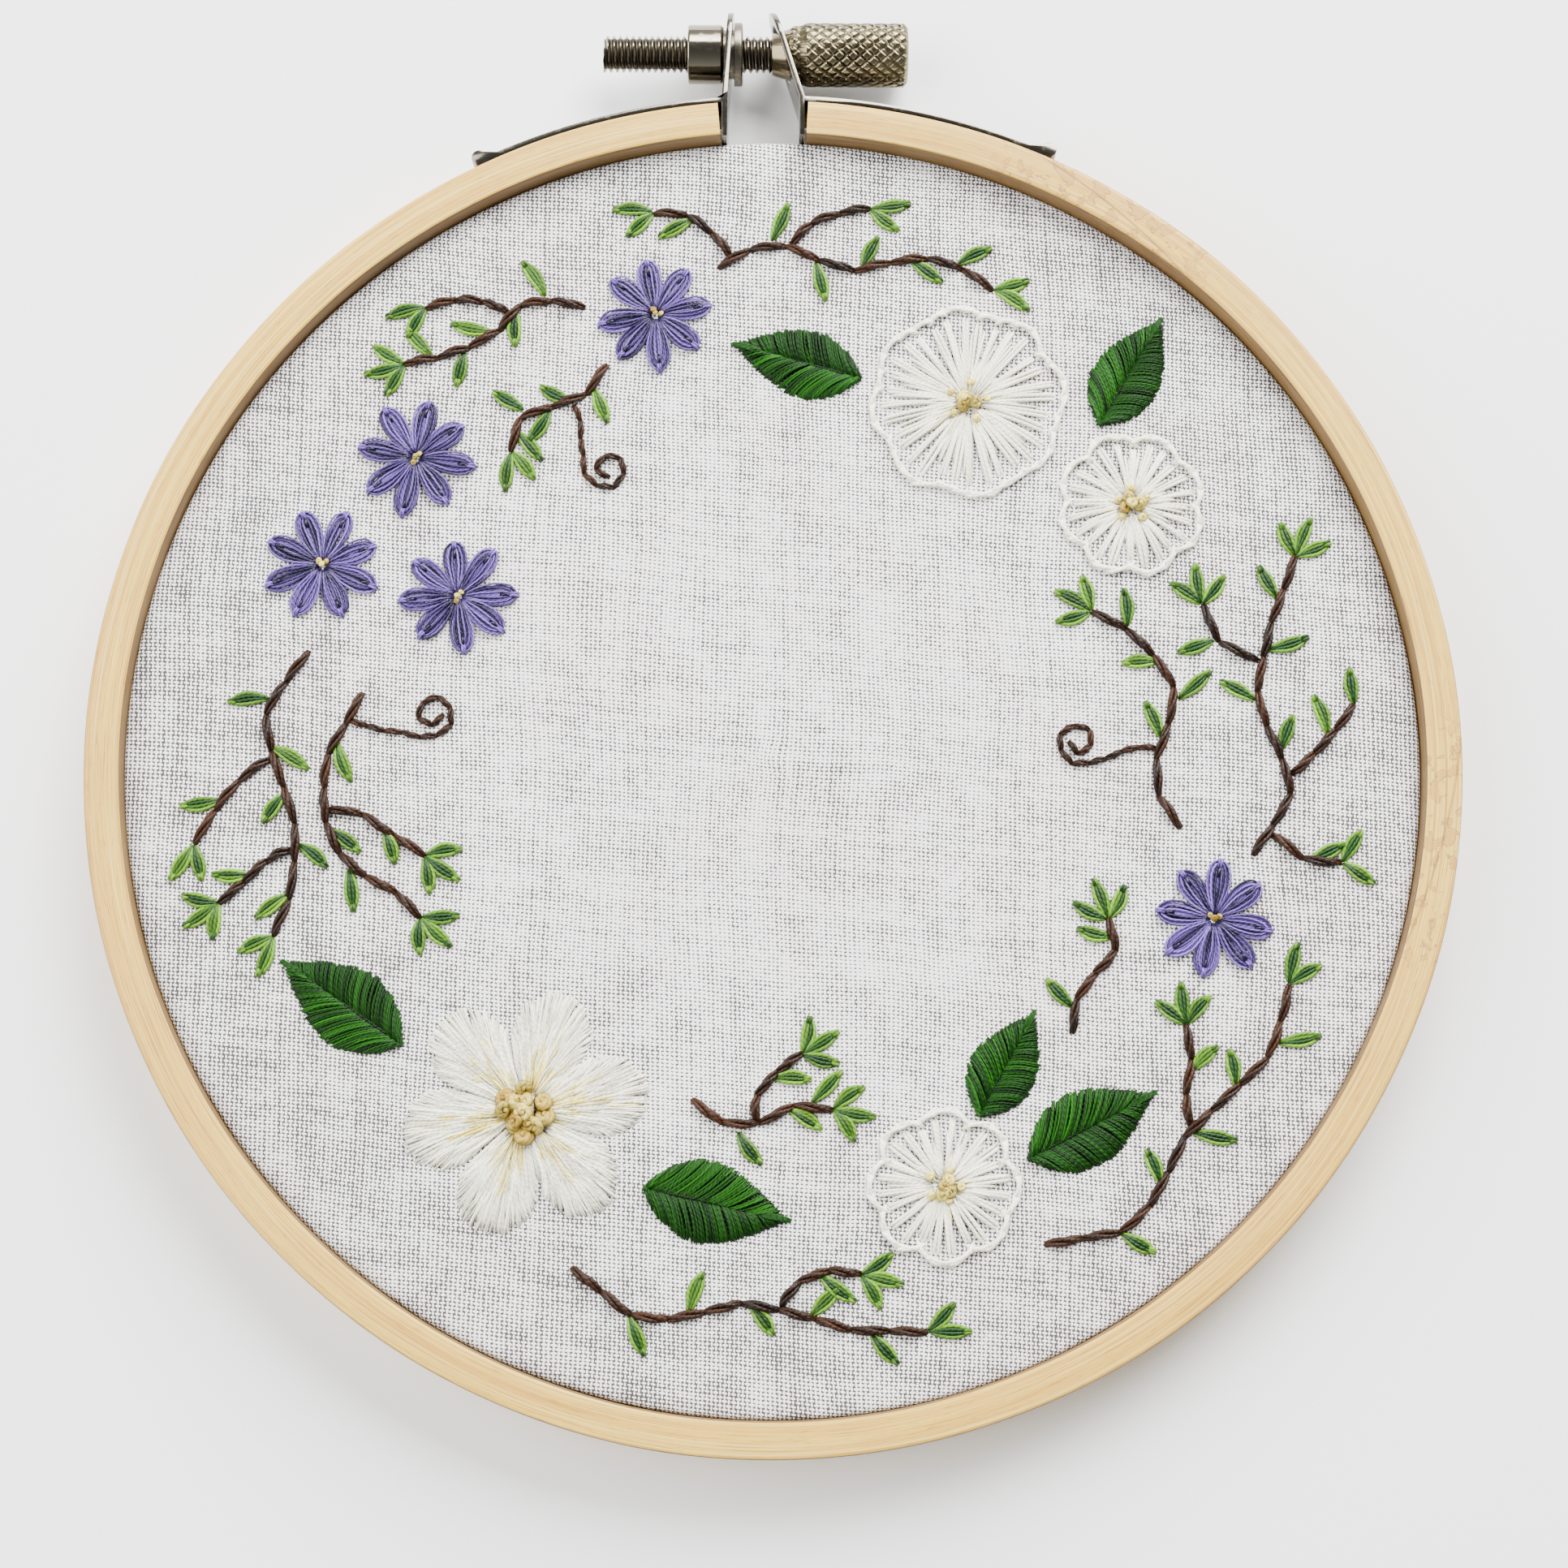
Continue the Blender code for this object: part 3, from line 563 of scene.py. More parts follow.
def set_uv(piece, name, values):
    layer = piece.data.uv_layers.get(name) or piece.data.uv_layers.new(name=name)
    layer.data.foreach_set("uv", np.asarray(values, dtype=np.float32).ravel())


def set_attribute(piece, name, values):
    layer = piece.data.attributes.get(name) or piece.data.attributes.new(name, "FLOAT", "POINT")
    layer.data.foreach_set("value", np.asarray(values, dtype=np.float32))


def dress(piece, material, slot, body, *nodes):
    """Gives a finished piece its material, the body it rides on and the nodes it stands for. slot is not
    used.
    """
    piece.data.materials.clear()
    piece.data.materials.append(material)
    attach(piece, body)
    if nodes:
        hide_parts(*nodes)
    triangles = sum(len(face.vertices) - 2 for face in piece.data.polygons)
    print(piece.name, triangles, "triangles")


# %% [markdown]
# The outer ring: a bamboo strip of 3.8 by 9 mm, bent into a circle with a gap at the top for the
# screw. Its corners are sanded round. The section is drawn at one end of the gap and spun round to
# the other end, and the two ends are closed with flat faces. Then the points move in and out by a
# tenth of a millimetre or two, because a steamed strip never bends into a perfect circle.

# %% Outer ring


def rounded_section(inside, outside, low, high, radius, angle_degrees, arc_points=4):
    """A rounded rectangle standing on the circle at an angle, as points in space."""
    corners = [
        (outside - radius, high - radius, 90, 0), (outside - radius, low + radius, 0, -90),
        (inside + radius, low + radius, -90, -180), (inside + radius, high - radius, -180, -270),
    ]
    turned = math.radians(angle_degrees)
    points = []
    for reach, height, start, end in corners:
        for k in range(arc_points + 1):
            a = math.radians(start + (end - start) * k / arc_points)
            r, z = reach + radius * math.cos(a), height + radius * math.sin(a)
            points.append((HOOP_X + r * math.cos(turned), HOOP_Y + r * math.sin(turned), z))
    return points


GAP_LEFT, GAP_RIGHT = -6.3 * MM, 3.3 * MM
start_angle = math.degrees(math.acos(GAP_LEFT / (RING_OUTSIDE - RING_WALL / 2)))
end_angle = 360 + math.degrees(math.acos(GAP_RIGHT / (RING_OUTSIDE - RING_WALL / 2)))
points = rounded_section(RING_OUTSIDE - RING_WALL, RING_OUTSIDE, ring_low.z, RING_TOP, 0.38 * MM, start_angle)
outer_ring = section_line("bent_outer_ring", points, closed=True)
spin(outer_ring, (HOOP_X, HOOP_Y, 0.0), (0, 0, 1), -math.radians(end_angle - start_angle), 300)
print("outer ring spans", round(start_angle, 1), "to", round(end_angle, 1), "degrees")

# %% [markdown]
# Spin has a habit worth knowing: it counts a positive angle clockwise about its axis, the other way
# from the angles here, so the cell above gives it a negative one. The two open ends are then filled,
# the circle is bent a little, and the UV map of the grain is written.

# %% Close and bend the outer ring
only(outer_ring)
bpy.ops.object.mode_set(mode="EDIT")
bpy.ops.mesh.select_all(action="DESELECT")
bpy.ops.mesh.select_non_manifold()
bpy.ops.mesh.fill_holes(sides=0)
bpy.ops.mesh.select_all(action="SELECT")
bpy.ops.mesh.normals_make_consistent(inside=False)
bpy.ops.object.mode_set(mode="OBJECT")


def bend_strip(places, amount):
    """Moves points in and out a little, slowly round the ring, as a steamed strip bends."""
    x, y = places[:, 0] - HOOP_X, places[:, 1] - HOOP_Y
    reach, angle = np.hypot(x, y), np.arctan2(y, x)
    push = amount * (0.5 * np.sin(3 * angle + 0.6) + 0.35 * np.sin(7 * angle + 2.0)
                     + 0.25 * np.sin(17 * angle))
    scale = (reach + push - amount) / reach
    moved = places.copy()
    moved[:, 0], moved[:, 1] = HOOP_X + x * scale, HOOP_Y + y * scale
    return moved


def strip_uv(piece, inside):
    """Millimetres along the strip from the gap, and across its face or down its side.

    The sides' numbers start at OUTER_SIDE and INNER_SIDE, so the finish can tell them apart."""
    places = coordinates(piece)
    corners, normals = loop_data(piece)
    x, y, z = (places[corners] - (HOOP_X, HOOP_Y, 0.0)).T
    angle = (np.degrees(np.arctan2(y, x)) - 90) % 360
    reach = np.hypot(x, y)
    along = np.radians(angle) * RING_OUTSIDE / MM
    inner_side = reach < inside + 1.0 * MM
    down_side = z / MM + np.where(inner_side, INNER_SIDE, OUTER_SIDE)
    across = np.where(np.abs(normals[:, 2]) > 0.7, (reach - inside) / MM, down_side)
    set_uv(piece, "grain", np.stack([along, across], axis=1))


set_coordinates(outer_ring, bend_strip(coordinates(outer_ring), 0.07 * MM))
strip_uv(outer_ring, RING_OUTSIDE - RING_WALL)
smooth(outer_ring, 40)
dress(outer_ring, bamboo, "bamboo", "hoop", "outer_ring")

# %% [markdown]
# The inner ring is a plain closed circle of the same bamboo. The cloth is pulled over it, so its
# top edge is where the cloth turns down. Only the back of the hoop shows it. A full spin leaves
# its last section on its first, and merging doubles joins them.

# %% Inner ring
CLOTH_SHEET = 0.42 * MM
INNER_OUTSIDE = RING_OUTSIDE - RING_WALL - CLOTH_SHEET - 0.12 * MM
INNER_WALL = 3.6 * MM
INNER_TOP = CLOTH_TOP - 0.95 * MM
points = rounded_section(INNER_OUTSIDE - INNER_WALL, INNER_OUTSIDE, 0.0, INNER_TOP, 0.55 * MM, -90)
inner_ring = section_line("bent_inner_ring", points, closed=True)
spin(inner_ring, (HOOP_X, HOOP_Y, 0.0), (0, 0, 1), math.tau, 256)
strip_uv(inner_ring, INNER_OUTSIDE - INNER_WALL)
smooth(inner_ring, 40)
dress(inner_ring, inner_bamboo, "bamboo", "hoop", "inner_ring")

# %% [markdown]
# The cloth is one sheet: flat and tight across the ring, turned down over its edge, pinched
# between the two rings, and trimmed just above the back. Its profile is spun and thickened with
# Solidify. A stretched cloth is nearly flat, but it sits a little deeper on one side, and it
# ripples by hundredths of a millimetre where stitches pull. Every stitch stands on this surface,
# so its height is a function that the stitches use too.

# %% Cloth surface
CLOTH_TILT = 0.35 * MM
DEEP_SIDE = math.radians(50)
OPEN_RADIUS = 0.068
CLOTH_LEVEL = CLOTH_TOP - 0.42 * MM


def cloth_height(x, y):
    """The height of the cloth's upper face at a place, in metres."""
    x, y = np.asarray(x) - HOOP_X, np.asarray(y) - HOOP_Y
    reach = np.hypot(x, y) / OPEN_RADIUS
    tilt = -CLOTH_TILT * (x * math.cos(DEEP_SIDE) + y * math.sin(DEEP_SIDE)) / OPEN_RADIUS
    ripple = (np.sin(x * 160 + 1.0) * np.sin(y * 130 + 0.4) + 0.6 * np.sin(x * 330 + y * 210)) * 0.045 * MM
    return CLOTH_LEVEL + tilt + ripple * np.clip(1.15 - reach, 0, 1)


SKIRT_OUTSIDE = RING_OUTSIDE - RING_WALL - 0.08 * MM
profile = [(0.0004, 0.0)]
profile += [(r * MM, 0.0) for r in np.linspace(2.0, 66.5, 40)]
corner = 0.75 * MM
for k in range(1, 7):
    a = math.radians(90 - 15 * k)
    profile.append((SKIRT_OUTSIDE - corner + corner * math.cos(a), -corner + corner * math.sin(a)))
for depth_down in np.linspace(1.6, 6.3, 6):
    profile.append((SKIRT_OUTSIDE, -depth_down * MM))
flat_reach = [0.0]
for (r0, z0), (r1, z1) in zip(profile, profile[1:]):
    flat_reach.append(flat_reach[-1] + math.hypot(r1 - r0, z1 - z0))
flat_reach = [f + profile[0][0] for f in flat_reach]
cloth = section_line("stretched_cloth", [(HOOP_X + r, HOOP_Y, z) for r, z in profile], closed=False)
spin(cloth, (HOOP_X, HOOP_Y, 0.0), (0, 0, 1), math.tau, 240)
only(cloth)
bpy.ops.object.mode_set(mode="EDIT")
bpy.ops.mesh.select_all(action="DESELECT")
bpy.ops.object.mode_set(mode="OBJECT")
places = coordinates(cloth)
near_middle = np.hypot(places[:, 0] - HOOP_X, places[:, 1] - HOOP_Y) < 0.0005
cloth.data.vertices.foreach_set("select", near_middle)
bpy.ops.object.mode_set(mode="EDIT")
bpy.ops.mesh.merge(type="CENTER")
bpy.ops.mesh.select_all(action="SELECT")
bpy.ops.mesh.normals_make_consistent(inside=False)
bpy.ops.object.mode_set(mode="OBJECT")
print("cloth's flat radius", round(flat_reach[-1] * 1000, 1), "mm")

# %% Cloth sheet
places = coordinates(cloth)
corners, _ = loop_data(cloth)
reach = np.hypot(places[:, 0] - HOOP_X, places[:, 1] - HOOP_Y)
# Reach plus fifty times the depth grows all the way from the cloth's middle to its trimmed edge.
DEPTH_WEIGHT = 50
outward = np.array([r - z * DEPTH_WEIGHT for r, z in profile])
order = np.argsort(outward)
unrolled = np.interp(reach - places[:, 2] * DEPTH_WEIGHT, outward[order], np.array(flat_reach)[order])
angle = np.arctan2(places[:, 1] - HOOP_Y, places[:, 0] - HOOP_X)
lean = math.radians(5.6)
flat_x, flat_y = unrolled * np.cos(angle) / MM, unrolled * np.sin(angle) / MM
weave_u, weave_v = flat_x, flat_y + flat_x * math.tan(lean)
set_uv(cloth, "weave", np.stack([weave_u, weave_v], axis=1)[corners])
surface = cloth_height(places[:, 0], places[:, 1])
skirt_share = np.clip((-places[:, 2] - corner) / (5.5 * MM), 0, 1)
lift = surface * (1 - skirt_share) + CLOTH_TOP * skirt_share
places[:, 2] = np.maximum(places[:, 2] + lift, 0.35 * MM)
set_coordinates(cloth, places)
if sum(face.normal.z for face in cloth.data.polygons) < 0:
    only(cloth)
    bpy.ops.object.mode_set(mode="EDIT")
    bpy.ops.mesh.select_all(action="SELECT")
    bpy.ops.mesh.flip_normals()
    bpy.ops.object.mode_set(mode="OBJECT")
only(cloth)
bpy.ops.object.modifier_add(type="SOLIDIFY")
cloth.modifiers["Solidify"].thickness = CLOTH_SHEET
cloth.modifiers["Solidify"].offset = -1.0
bpy.ops.object.modifier_apply(modifier="Solidify")
smooth(cloth, 60)
dress(cloth, cotton, "cotton", "hoop", "cloth")

# %% [markdown]
# A stitch is a few threads that come up through the cloth, lie along it and go down again. Each
# thread is a thin tube. Thousands are needed, and a curve object for each would be slow, so one
# helper turns a list of thread paths into a single mesh. Every tube is closed, with pointed ends,
# and carries a UV map along its length and two values, its shade and its tone.

# %% Threads from paths
SIDES = 6
chance = np.random.default_rng(20)


def thread_mesh(name, threads):
    """One mesh of closed tubes. A thread is (points, radius, shade, tone), its points an n by 3 array."""
    ring_angles = np.arange(SIDES) * math.tau / SIDES
    cosines, sines = np.cos(ring_angles), np.sin(ring_angles)
    places, faces, uvs, shades, tones = [], [], [], [], []
    first = 0
    for points, radius, shade, tone in threads:
        count = len(points)
        tangent = np.gradient(points, axis=0)
        tangent /= np.linalg.norm(tangent, axis=1)[:, None]
        side = np.cross((0.0, 0.0, 1.0), tangent)
        side /= np.linalg.norm(side, axis=1)[:, None] + 1e-12
        over = np.cross(tangent, side)
        widths = np.full(count, 1.0) * radius
        widths[[0, -1]] *= 0.72
        radius = widths[0]
        ring = side[:, None, :] * cosines[None, :, None] + over[:, None, :] * sines[None, :, None]
        tube = (points[:, None, :] + ring * widths[:, None, None]).reshape(-1, 3)
        tips = np.array([points[0] - tangent[0] * radius * 0.7, points[-1] + tangent[-1] * radius * 0.7])
        places.append(tube)
        places.append(tips)
        length = np.concatenate([[0.0], np.cumsum(np.linalg.norm(np.diff(points, axis=0), axis=1))]) / MM
        length += shade * 7.0
        low_tip, high_tip = first + count * SIDES, first + count * SIDES + 1
        for k in range(count - 1):
            for j in range(SIDES):
                after = (j + 1) % SIDES
                a, b = first + k * SIDES, first + (k + 1) * SIDES
                faces.append((a + j, a + after, b + after, b + j))
                low, high = j / SIDES, (j + 1) / SIDES
                uvs += [length[k], low, length[k], high, length[k + 1], high, length[k + 1], low]
        last = first + (count - 1) * SIDES
        for j in range(SIDES):
            after = (j + 1) % SIDES
            faces.append((first + after, first + j, low_tip))
            faces.append((last + j, last + after, high_tip))
            low, high = j / SIDES, (j + 1) / SIDES
            uvs += [length[0], high, length[0], low, length[0], low]
            uvs += [length[-1], low, length[-1], high, length[-1], high]
        shades.append(np.full(count * SIDES + 2, shade))
        tones.append(np.full(count * SIDES + 2, tone) if np.isscalar(tone)
                     else np.concatenate([np.repeat(tone, SIDES), [tone[0], tone[-1]]]))
        first += count * SIDES + 2
    mesh = bpy.data.meshes.new(name)
    mesh.from_pydata(np.concatenate(places).tolist(), [], faces)
    piece = bpy.data.objects.new(name, mesh)
    bpy.context.scene.collection.objects.link(piece)
    set_uv(piece, "thread", np.array(uvs).reshape(-1, 2))
    set_attribute(piece, "shade", np.concatenate(shades))
    set_attribute(piece, "tone", np.concatenate(tones))
    mesh.polygons.foreach_set("use_smooth", np.ones(len(mesh.polygons), dtype=bool))
    return piece


def laid_thread(start, end, radius, rise, count=7, bow=0.0, under=0.0, wave=0.0):
    """A thread's path from one hole in the cloth to another, over a height of rise.

    bow pushes its middle sideways, under is the height of what it lies on, and wave bends it."""
    start, end = np.asarray(start, float), np.asarray(end, float)
    t = np.linspace(0.0, 1.0, count)
    along = end - start
    across = np.array([-along[1], along[0]])
    flat = start + along * t[:, None] + across * (bow * np.sin(np.pi * t))[:, None]
    unit = across / max(np.linalg.norm(across), 1e-9)
    bend = wave * chance.uniform(-1, 1) * np.sin(t * 5.2 + chance.uniform(0, 6.3)) * np.sin(np.pi * t)
    flat += unit * bend[:, None]
    arch = np.sin(np.pi * t) ** 0.45
    height = cloth_height(flat[:, 0], flat[:, 1]) + radius * 0.2 + (rise + under) * arch
    height -= radius * 2.2 * (1 - arch)
    return np.column_stack([flat, height])


def clipped(value):
    """A shade or a tone, kept between 0 and 1."""
    return float(np.clip(value, 0, 1))


def place_at(angle, reach):
    """A place on the cloth, in metres, from degrees round the hoop and millimetres from its middle."""
    a = math.radians(angle)
    return np.array([HOOP_X + reach * MM * math.cos(a), HOOP_Y + reach * MM * math.sin(a)])


def direction(angle):
    return np.array([math.cos(math.radians(angle)), math.sin(math.radians(angle))])


# %% [markdown]
# The wreath is laid out in degrees round the hoop and millimetres from its middle, with the same
# rows as the CAD solids, so every motif lands on its own solid. It is a generic garland: one big
# white six-petalled blossom, three scalloped white rosettes, five purple asters, six leaves and
# winding brown twigs.

# %% Wreath layout
BLOSSOM = {"angle": 236.0, "reach": 45.0, "radius": 13.0, "turn": 12.0}
ROSETTES = [
    {"angle": 62.0, "reach": 44.0, "radius": 10.2, "turn": 8.0, "knots": 2.2, "spokes": 32},
    {"angle": 36.0, "reach": 47.0, "radius": 7.5, "turn": 20.0, "knots": 1.9, "spokes": 24},
    {"angle": 292.0, "reach": 48.0, "radius": 7.5, "turn": 0.0, "knots": 1.9, "spokes": 24},
]
ASTERS = [
    {"angle": 140.0, "reach": 50.0, "radius": 6.7, "turn": 80.0},
    {"angle": 157.0, "reach": 52.0, "radius": 6.5, "turn": 20.0},
    {"angle": 153.0, "reach": 37.5, "radius": 6.4, "turn": 50.0},
    {"angle": 105.0, "reach": 50.0, "radius": 6.5, "turn": 98.0},
    {"angle": 340.0, "reach": 49.0, "radius": 6.5, "turn": 35.0},
]
LEAVES = [
    {"angle": 48.0, "reach": 57.0, "length": 13.5, "width": 7.6, "points_to": 60.0},
    {"angle": 87.0, "reach": 43.3, "length": 14.0, "width": 7.8, "points_to": 165.0},
    {"angle": 263.5, "reach": 46.8, "length": 15.0, "width": 8.6, "points_to": 348.0},
    {"angle": 210.5, "reach": 51.5, "length": 15.0, "width": 8.6, "points_to": 146.0},
    {"angle": 311.0, "reach": 50.6, "length": 14.5, "width": 8.2, "points_to": 28.0},
    {"angle": 307.5, "reach": 40.2, "length": 12.0, "width": 7.2, "points_to": 62.0},
]
STEMS = {
    "stem_left_long": [(167, 50), (176, 53.5), (187, 50.5), (195, 51.5), (201, 55.5)],
    "stem_left_short": [(171, 43.5), (182, 47), (193, 46.5), (200, 42), (206, 40)],
    "stem_left_twig_a": [(181.5, 55), (186, 58.5), (189.5, 61.5)],
    "stem_left_twig_b": [(191, 52.8), (194, 56.5), (195.5, 60)],
    "stem_left_twig_c": [(187, 44.8), (192, 40.5), (197, 37.5)],
    "stem_shoulder_long": [(112.5, 53), (118, 56.5), (125, 55), (133.5, 58.5)],
    "stem_shoulder_short": [(112.5, 46.5), (119, 44), (126, 46), (131, 43)],
    "stem_shoulder_twig": [(121, 57.3), (123.5, 60), (128, 62)],
    "stem_top_long": [(97, 54), (90, 56.5), (82, 54), (73, 57.5), (65, 56.5)],
    "stem_top_twig_a": [(88, 57.6), (84.5, 60), (80, 61.5)],
    "stem_top_twig_b": [(96, 57), (98.5, 60), (103, 61.5)],
    "stem_right_long": [(348.5, 51), (357, 54.5), (7, 51.5), (16, 55), (22, 60)],
    "stem_right_short": [(350, 43.5), (358, 40), (9, 43), (18, 41), (26, 37)],
    "stem_right_twig_a": [(359, 55.5), (3, 59), (6, 62)],
    "stem_right_twig_b": [(12.5, 51), (16.5, 48.2), (21, 48.5)],
    "stem_right_twig_c": [(351, 53.8), (349, 57.5), (350, 61)],
    "stem_foot_long": [(249, 56.5), (258, 59.5), (268, 56.5), (278, 59.5), (286, 61.5)],
    "stem_foot_short": [(257, 36.5), (265, 39), (274, 36.5), (281, 37.5)],
    "stem_foot_twig_a": [(271.5, 55.5), (276, 53.3), (280.5, 54.5)],
    "stem_foot_twig_b": [(266.5, 36.8), (271, 33), (277, 31)],
    "stem_corner_long": [(299, 57.5), (308, 61), (318, 58), (329, 60), (337, 58.5)],
    "stem_corner_short": [(317, 42.5), (324, 40), (330, 41.5), (335, 38.5)],
    "stem_corner_twig": [(318.5, 56.5), (323.5, 54), (327.5, 51)],
}
TENDRILS = {
    "tendril_left": {"angle": 176.0, "reach": 43.2, "heading": 350.0, "length": 7.0, "turns": 1.35},
    "tendril_right": {"angle": 2.5, "reach": 39.2, "heading": 200.0, "length": 6.5, "turns": -1.35},
    "tendril_shoulder": {"angle": 119.5, "reach": 42.4, "heading": 275.0, "length": 6.0, "turns": 1.3},
}
print("motifs", 1 + len(ROSETTES) + len(ASTERS) + len(LEAVES) + len(STEMS) + len(TENDRILS))

# %% [markdown]
# The big blossom is worked in long and short stitch. A first row of stitches of uneven length
# goes in from the petal's edge, a second row starts among them, and a third reaches the middle.
# The last row is partly cream. Each petal swells a little in its middle, and its two sides dip
# where it meets its neighbours.

# %% Blossom


def petal_edge(offset, row, petals, waist, fullness):
    """How far a flower's edge is from its middle, at an angle from the middle of a petal."""
    swing = abs(math.cos(math.radians(offset * petals / 2))) ** fullness
    return row["radius"] * (waist + (1 - waist) * swing)


# Each row: how many stitches, where they start and end as shares of the petal, what they lie on in
# millimetres, their thickness in millimetres, and how much cream floss is among them.
BLOSSOM_ROWS = [
    (40, (0.84, 0.97), (0.12, 0.22), 0.00, 0.18, 0.0),
    (112, (0.93, 1.03), (0.42, 0.68), 0.10, 0.11, 0.03),
    (64, (0.64, 0.88), (0.26, 0.46), 0.20, 0.10, 0.36),
    (46, (0.40, 0.66), (0.12, 0.24), 0.28, 0.11, 1.0),
]


def long_and_short(row, petals, waist, fullness):
    middle = place_at(row["angle"], row["reach"])
    half = 180 / petals
    threads = []
    for petal in range(petals):
        axis = row["turn"] + petal * 360 / petals
        swell = chance.uniform(0.42, 0.54) * MM
        for count, far, near, under, radius, cream in BLOSSOM_ROWS:
            for k in range(count):
                offset = (-1 + 2 * (k + chance.uniform(0.1, 0.9)) / count) * half * 0.97
                edge = petal_edge(offset, row, petals, waist, fullness) * MM
                outer = middle + direction(axis + offset) * edge * chance.uniform(*far)
                inner_reach = edge * chance.uniform(*near)
                inner = middle + direction(axis + offset * chance.uniform(0.6, 0.75)) * inner_reach
                crown = math.cos(math.radians(offset * 90 / half)) ** 0.5
                creamy = chance.random() < cream * (1.1 - abs(offset) / half)
                rise = swell * (0.30 + 0.70 * crown) * chance.uniform(0.85, 1.18)
                threads.append((
                    laid_thread(outer, inner, radius * MM, rise, 8, chance.uniform(-0.03, 0.03),
                                under * MM * crown, 0.11 * MM),
                    radius * chance.uniform(0.80, 1.40) * MM, chance.uniform(0.0, 0.85),
                    chance.uniform(0.35, 1.0) if creamy else 0.0,
                ))
    return threads


def stray_hairs(row, count):
    """Single fibres that have come loose and curl over the petals."""
    middle = place_at(row["angle"], row["reach"])
    hairs = []
    for _ in range(count):
        start = middle + direction(chance.uniform(0, 360)) * row["radius"] * chance.uniform(0.35, 0.98) * MM
        end = start + direction(chance.uniform(0, 360)) * chance.uniform(0.8, 2.2) * MM
        rise = chance.uniform(0.5, 1.1) * MM
        hair = laid_thread(start, end, 0.02 * MM, rise, 8, chance.uniform(-0.4, 0.4))
        hairs.append((hair, 0.022 * MM, 0.8, 0.0))
    return hairs


blossom_threads = long_and_short(BLOSSOM, 6, 0.58, 0.6)
blossom = thread_mesh("blossom_stitches", blossom_threads + stray_hairs(BLOSSOM, 90))
dress(blossom, thread_materials["white"], "white_thread", "hoop", "blossom")

# %% [markdown]
# A rosette is a ring of buttonhole stitches. Pairs of threads run from the middle to the edge, and
# at the edge each one catches the next, which lays a rope round the rim. The cloth shows between
# the spokes near the rim, and they crowd together near the middle.

# %% Rosettes


def rosette(row):
    middle = place_at(row["angle"], row["reach"])
    size = row["radius"] * MM
    threads, rim = [], []
    for k in range(row["spokes"]):
        angle = row["turn"] + 360 * (k + 0.5) / row["spokes"] + chance.uniform(-1.5, 1.5)
        lobe = (angle - row["turn"] + 22.5) % 45 - 22.5
        edge = petal_edge(lobe, row, 8, 0.86, 0.8) * MM * chance.uniform(0.98, 1.02)
        rim.append(middle + direction(angle) * edge)
        for ply in (-1, 1):
            across = direction(angle + 90) * ply * 0.21 * MM
            outer = middle + direction(angle) * edge * 0.985 + across
            inner = middle + direction(angle + chance.uniform(-3, 3)) * size * chance.uniform(0.10, 0.2)
            threads.append((
                laid_thread(outer, inner + across * 0.4, 0.2 * MM, 0.34 * MM, 8, chance.uniform(-0.02, 0.02)),
                chance.uniform(0.19, 0.22) * MM, chance.uniform(0.4, 0.85), 0.0,
            ))
    for k in range(round(row["spokes"] * 4.5)):
        angle = chance.uniform(0, 360)
        outer = middle + direction(angle) * size * chance.uniform(0.40, 0.84)
        inner = middle + direction(angle + chance.uniform(-5, 5)) * size * chance.uniform(0.08, 0.2)
        creamy = chance.random() < 0.2 and np.linalg.norm(outer - middle) < size * 0.55
        threads.append((
            laid_thread(outer, inner, 0.12 * MM, chance.uniform(0.3, 0.5) * MM, 7, 0.0, 0.0, 0.06 * MM),
            chance.uniform(0.12, 0.16) * MM, chance.uniform(0.4, 0.85), 0.5 if creamy else 0.0,
        ))
    for k, here in enumerate(rim):
        after = rim[(k + 1) % len(rim)]
        outward = (here + after) / 2 - middle
        outward /= np.linalg.norm(outward)
        lap = (after - here) * 0.26
        for first_push, last_push in ((0.0, 0.06), (0.40, -0.20), (-0.22, 0.38)):
            threads.append((
                laid_thread(here - lap + outward * first_push * MM, after + lap + outward * last_push * MM,
                            0.22 * MM, chance.uniform(0.40, 0.52) * MM, 8, -0.10),
                0.225 * MM, chance.uniform(0.55, 0.95), 0.0,
            ))
    return threads


rosette_threads = [rosette(row) for row in ROSETTES]
for number, threads in enumerate(rosette_threads, 1):
    piece = thread_mesh(f"rosette_stitches_{number}", threads)
    dress(piece, thread_materials["white"], "white_thread", "hoop", f"rosette_{number}")

# %% [markdown]
# The leaves are worked in fishbone stitch: slanting stitches of two strands run from each edge down
# past the midrib, side by side and so close that no cloth shows. They lie over a few long padding
# stitches, so the leaf is domed on both sides of a sunken rib, and its edge is a row of small steps.
# The padding takes the darkest shade, which is painted shade where it shows between the stitches,
# and the stitches of one side take more of the lighter green, a painted sheen on that side.

# %% Leaves


def leaf_half_width(t, row):
    return math.sin(math.pi * min(max(t, 0.0), 1.0) ** 0.8) * row["width"] * MM / 2


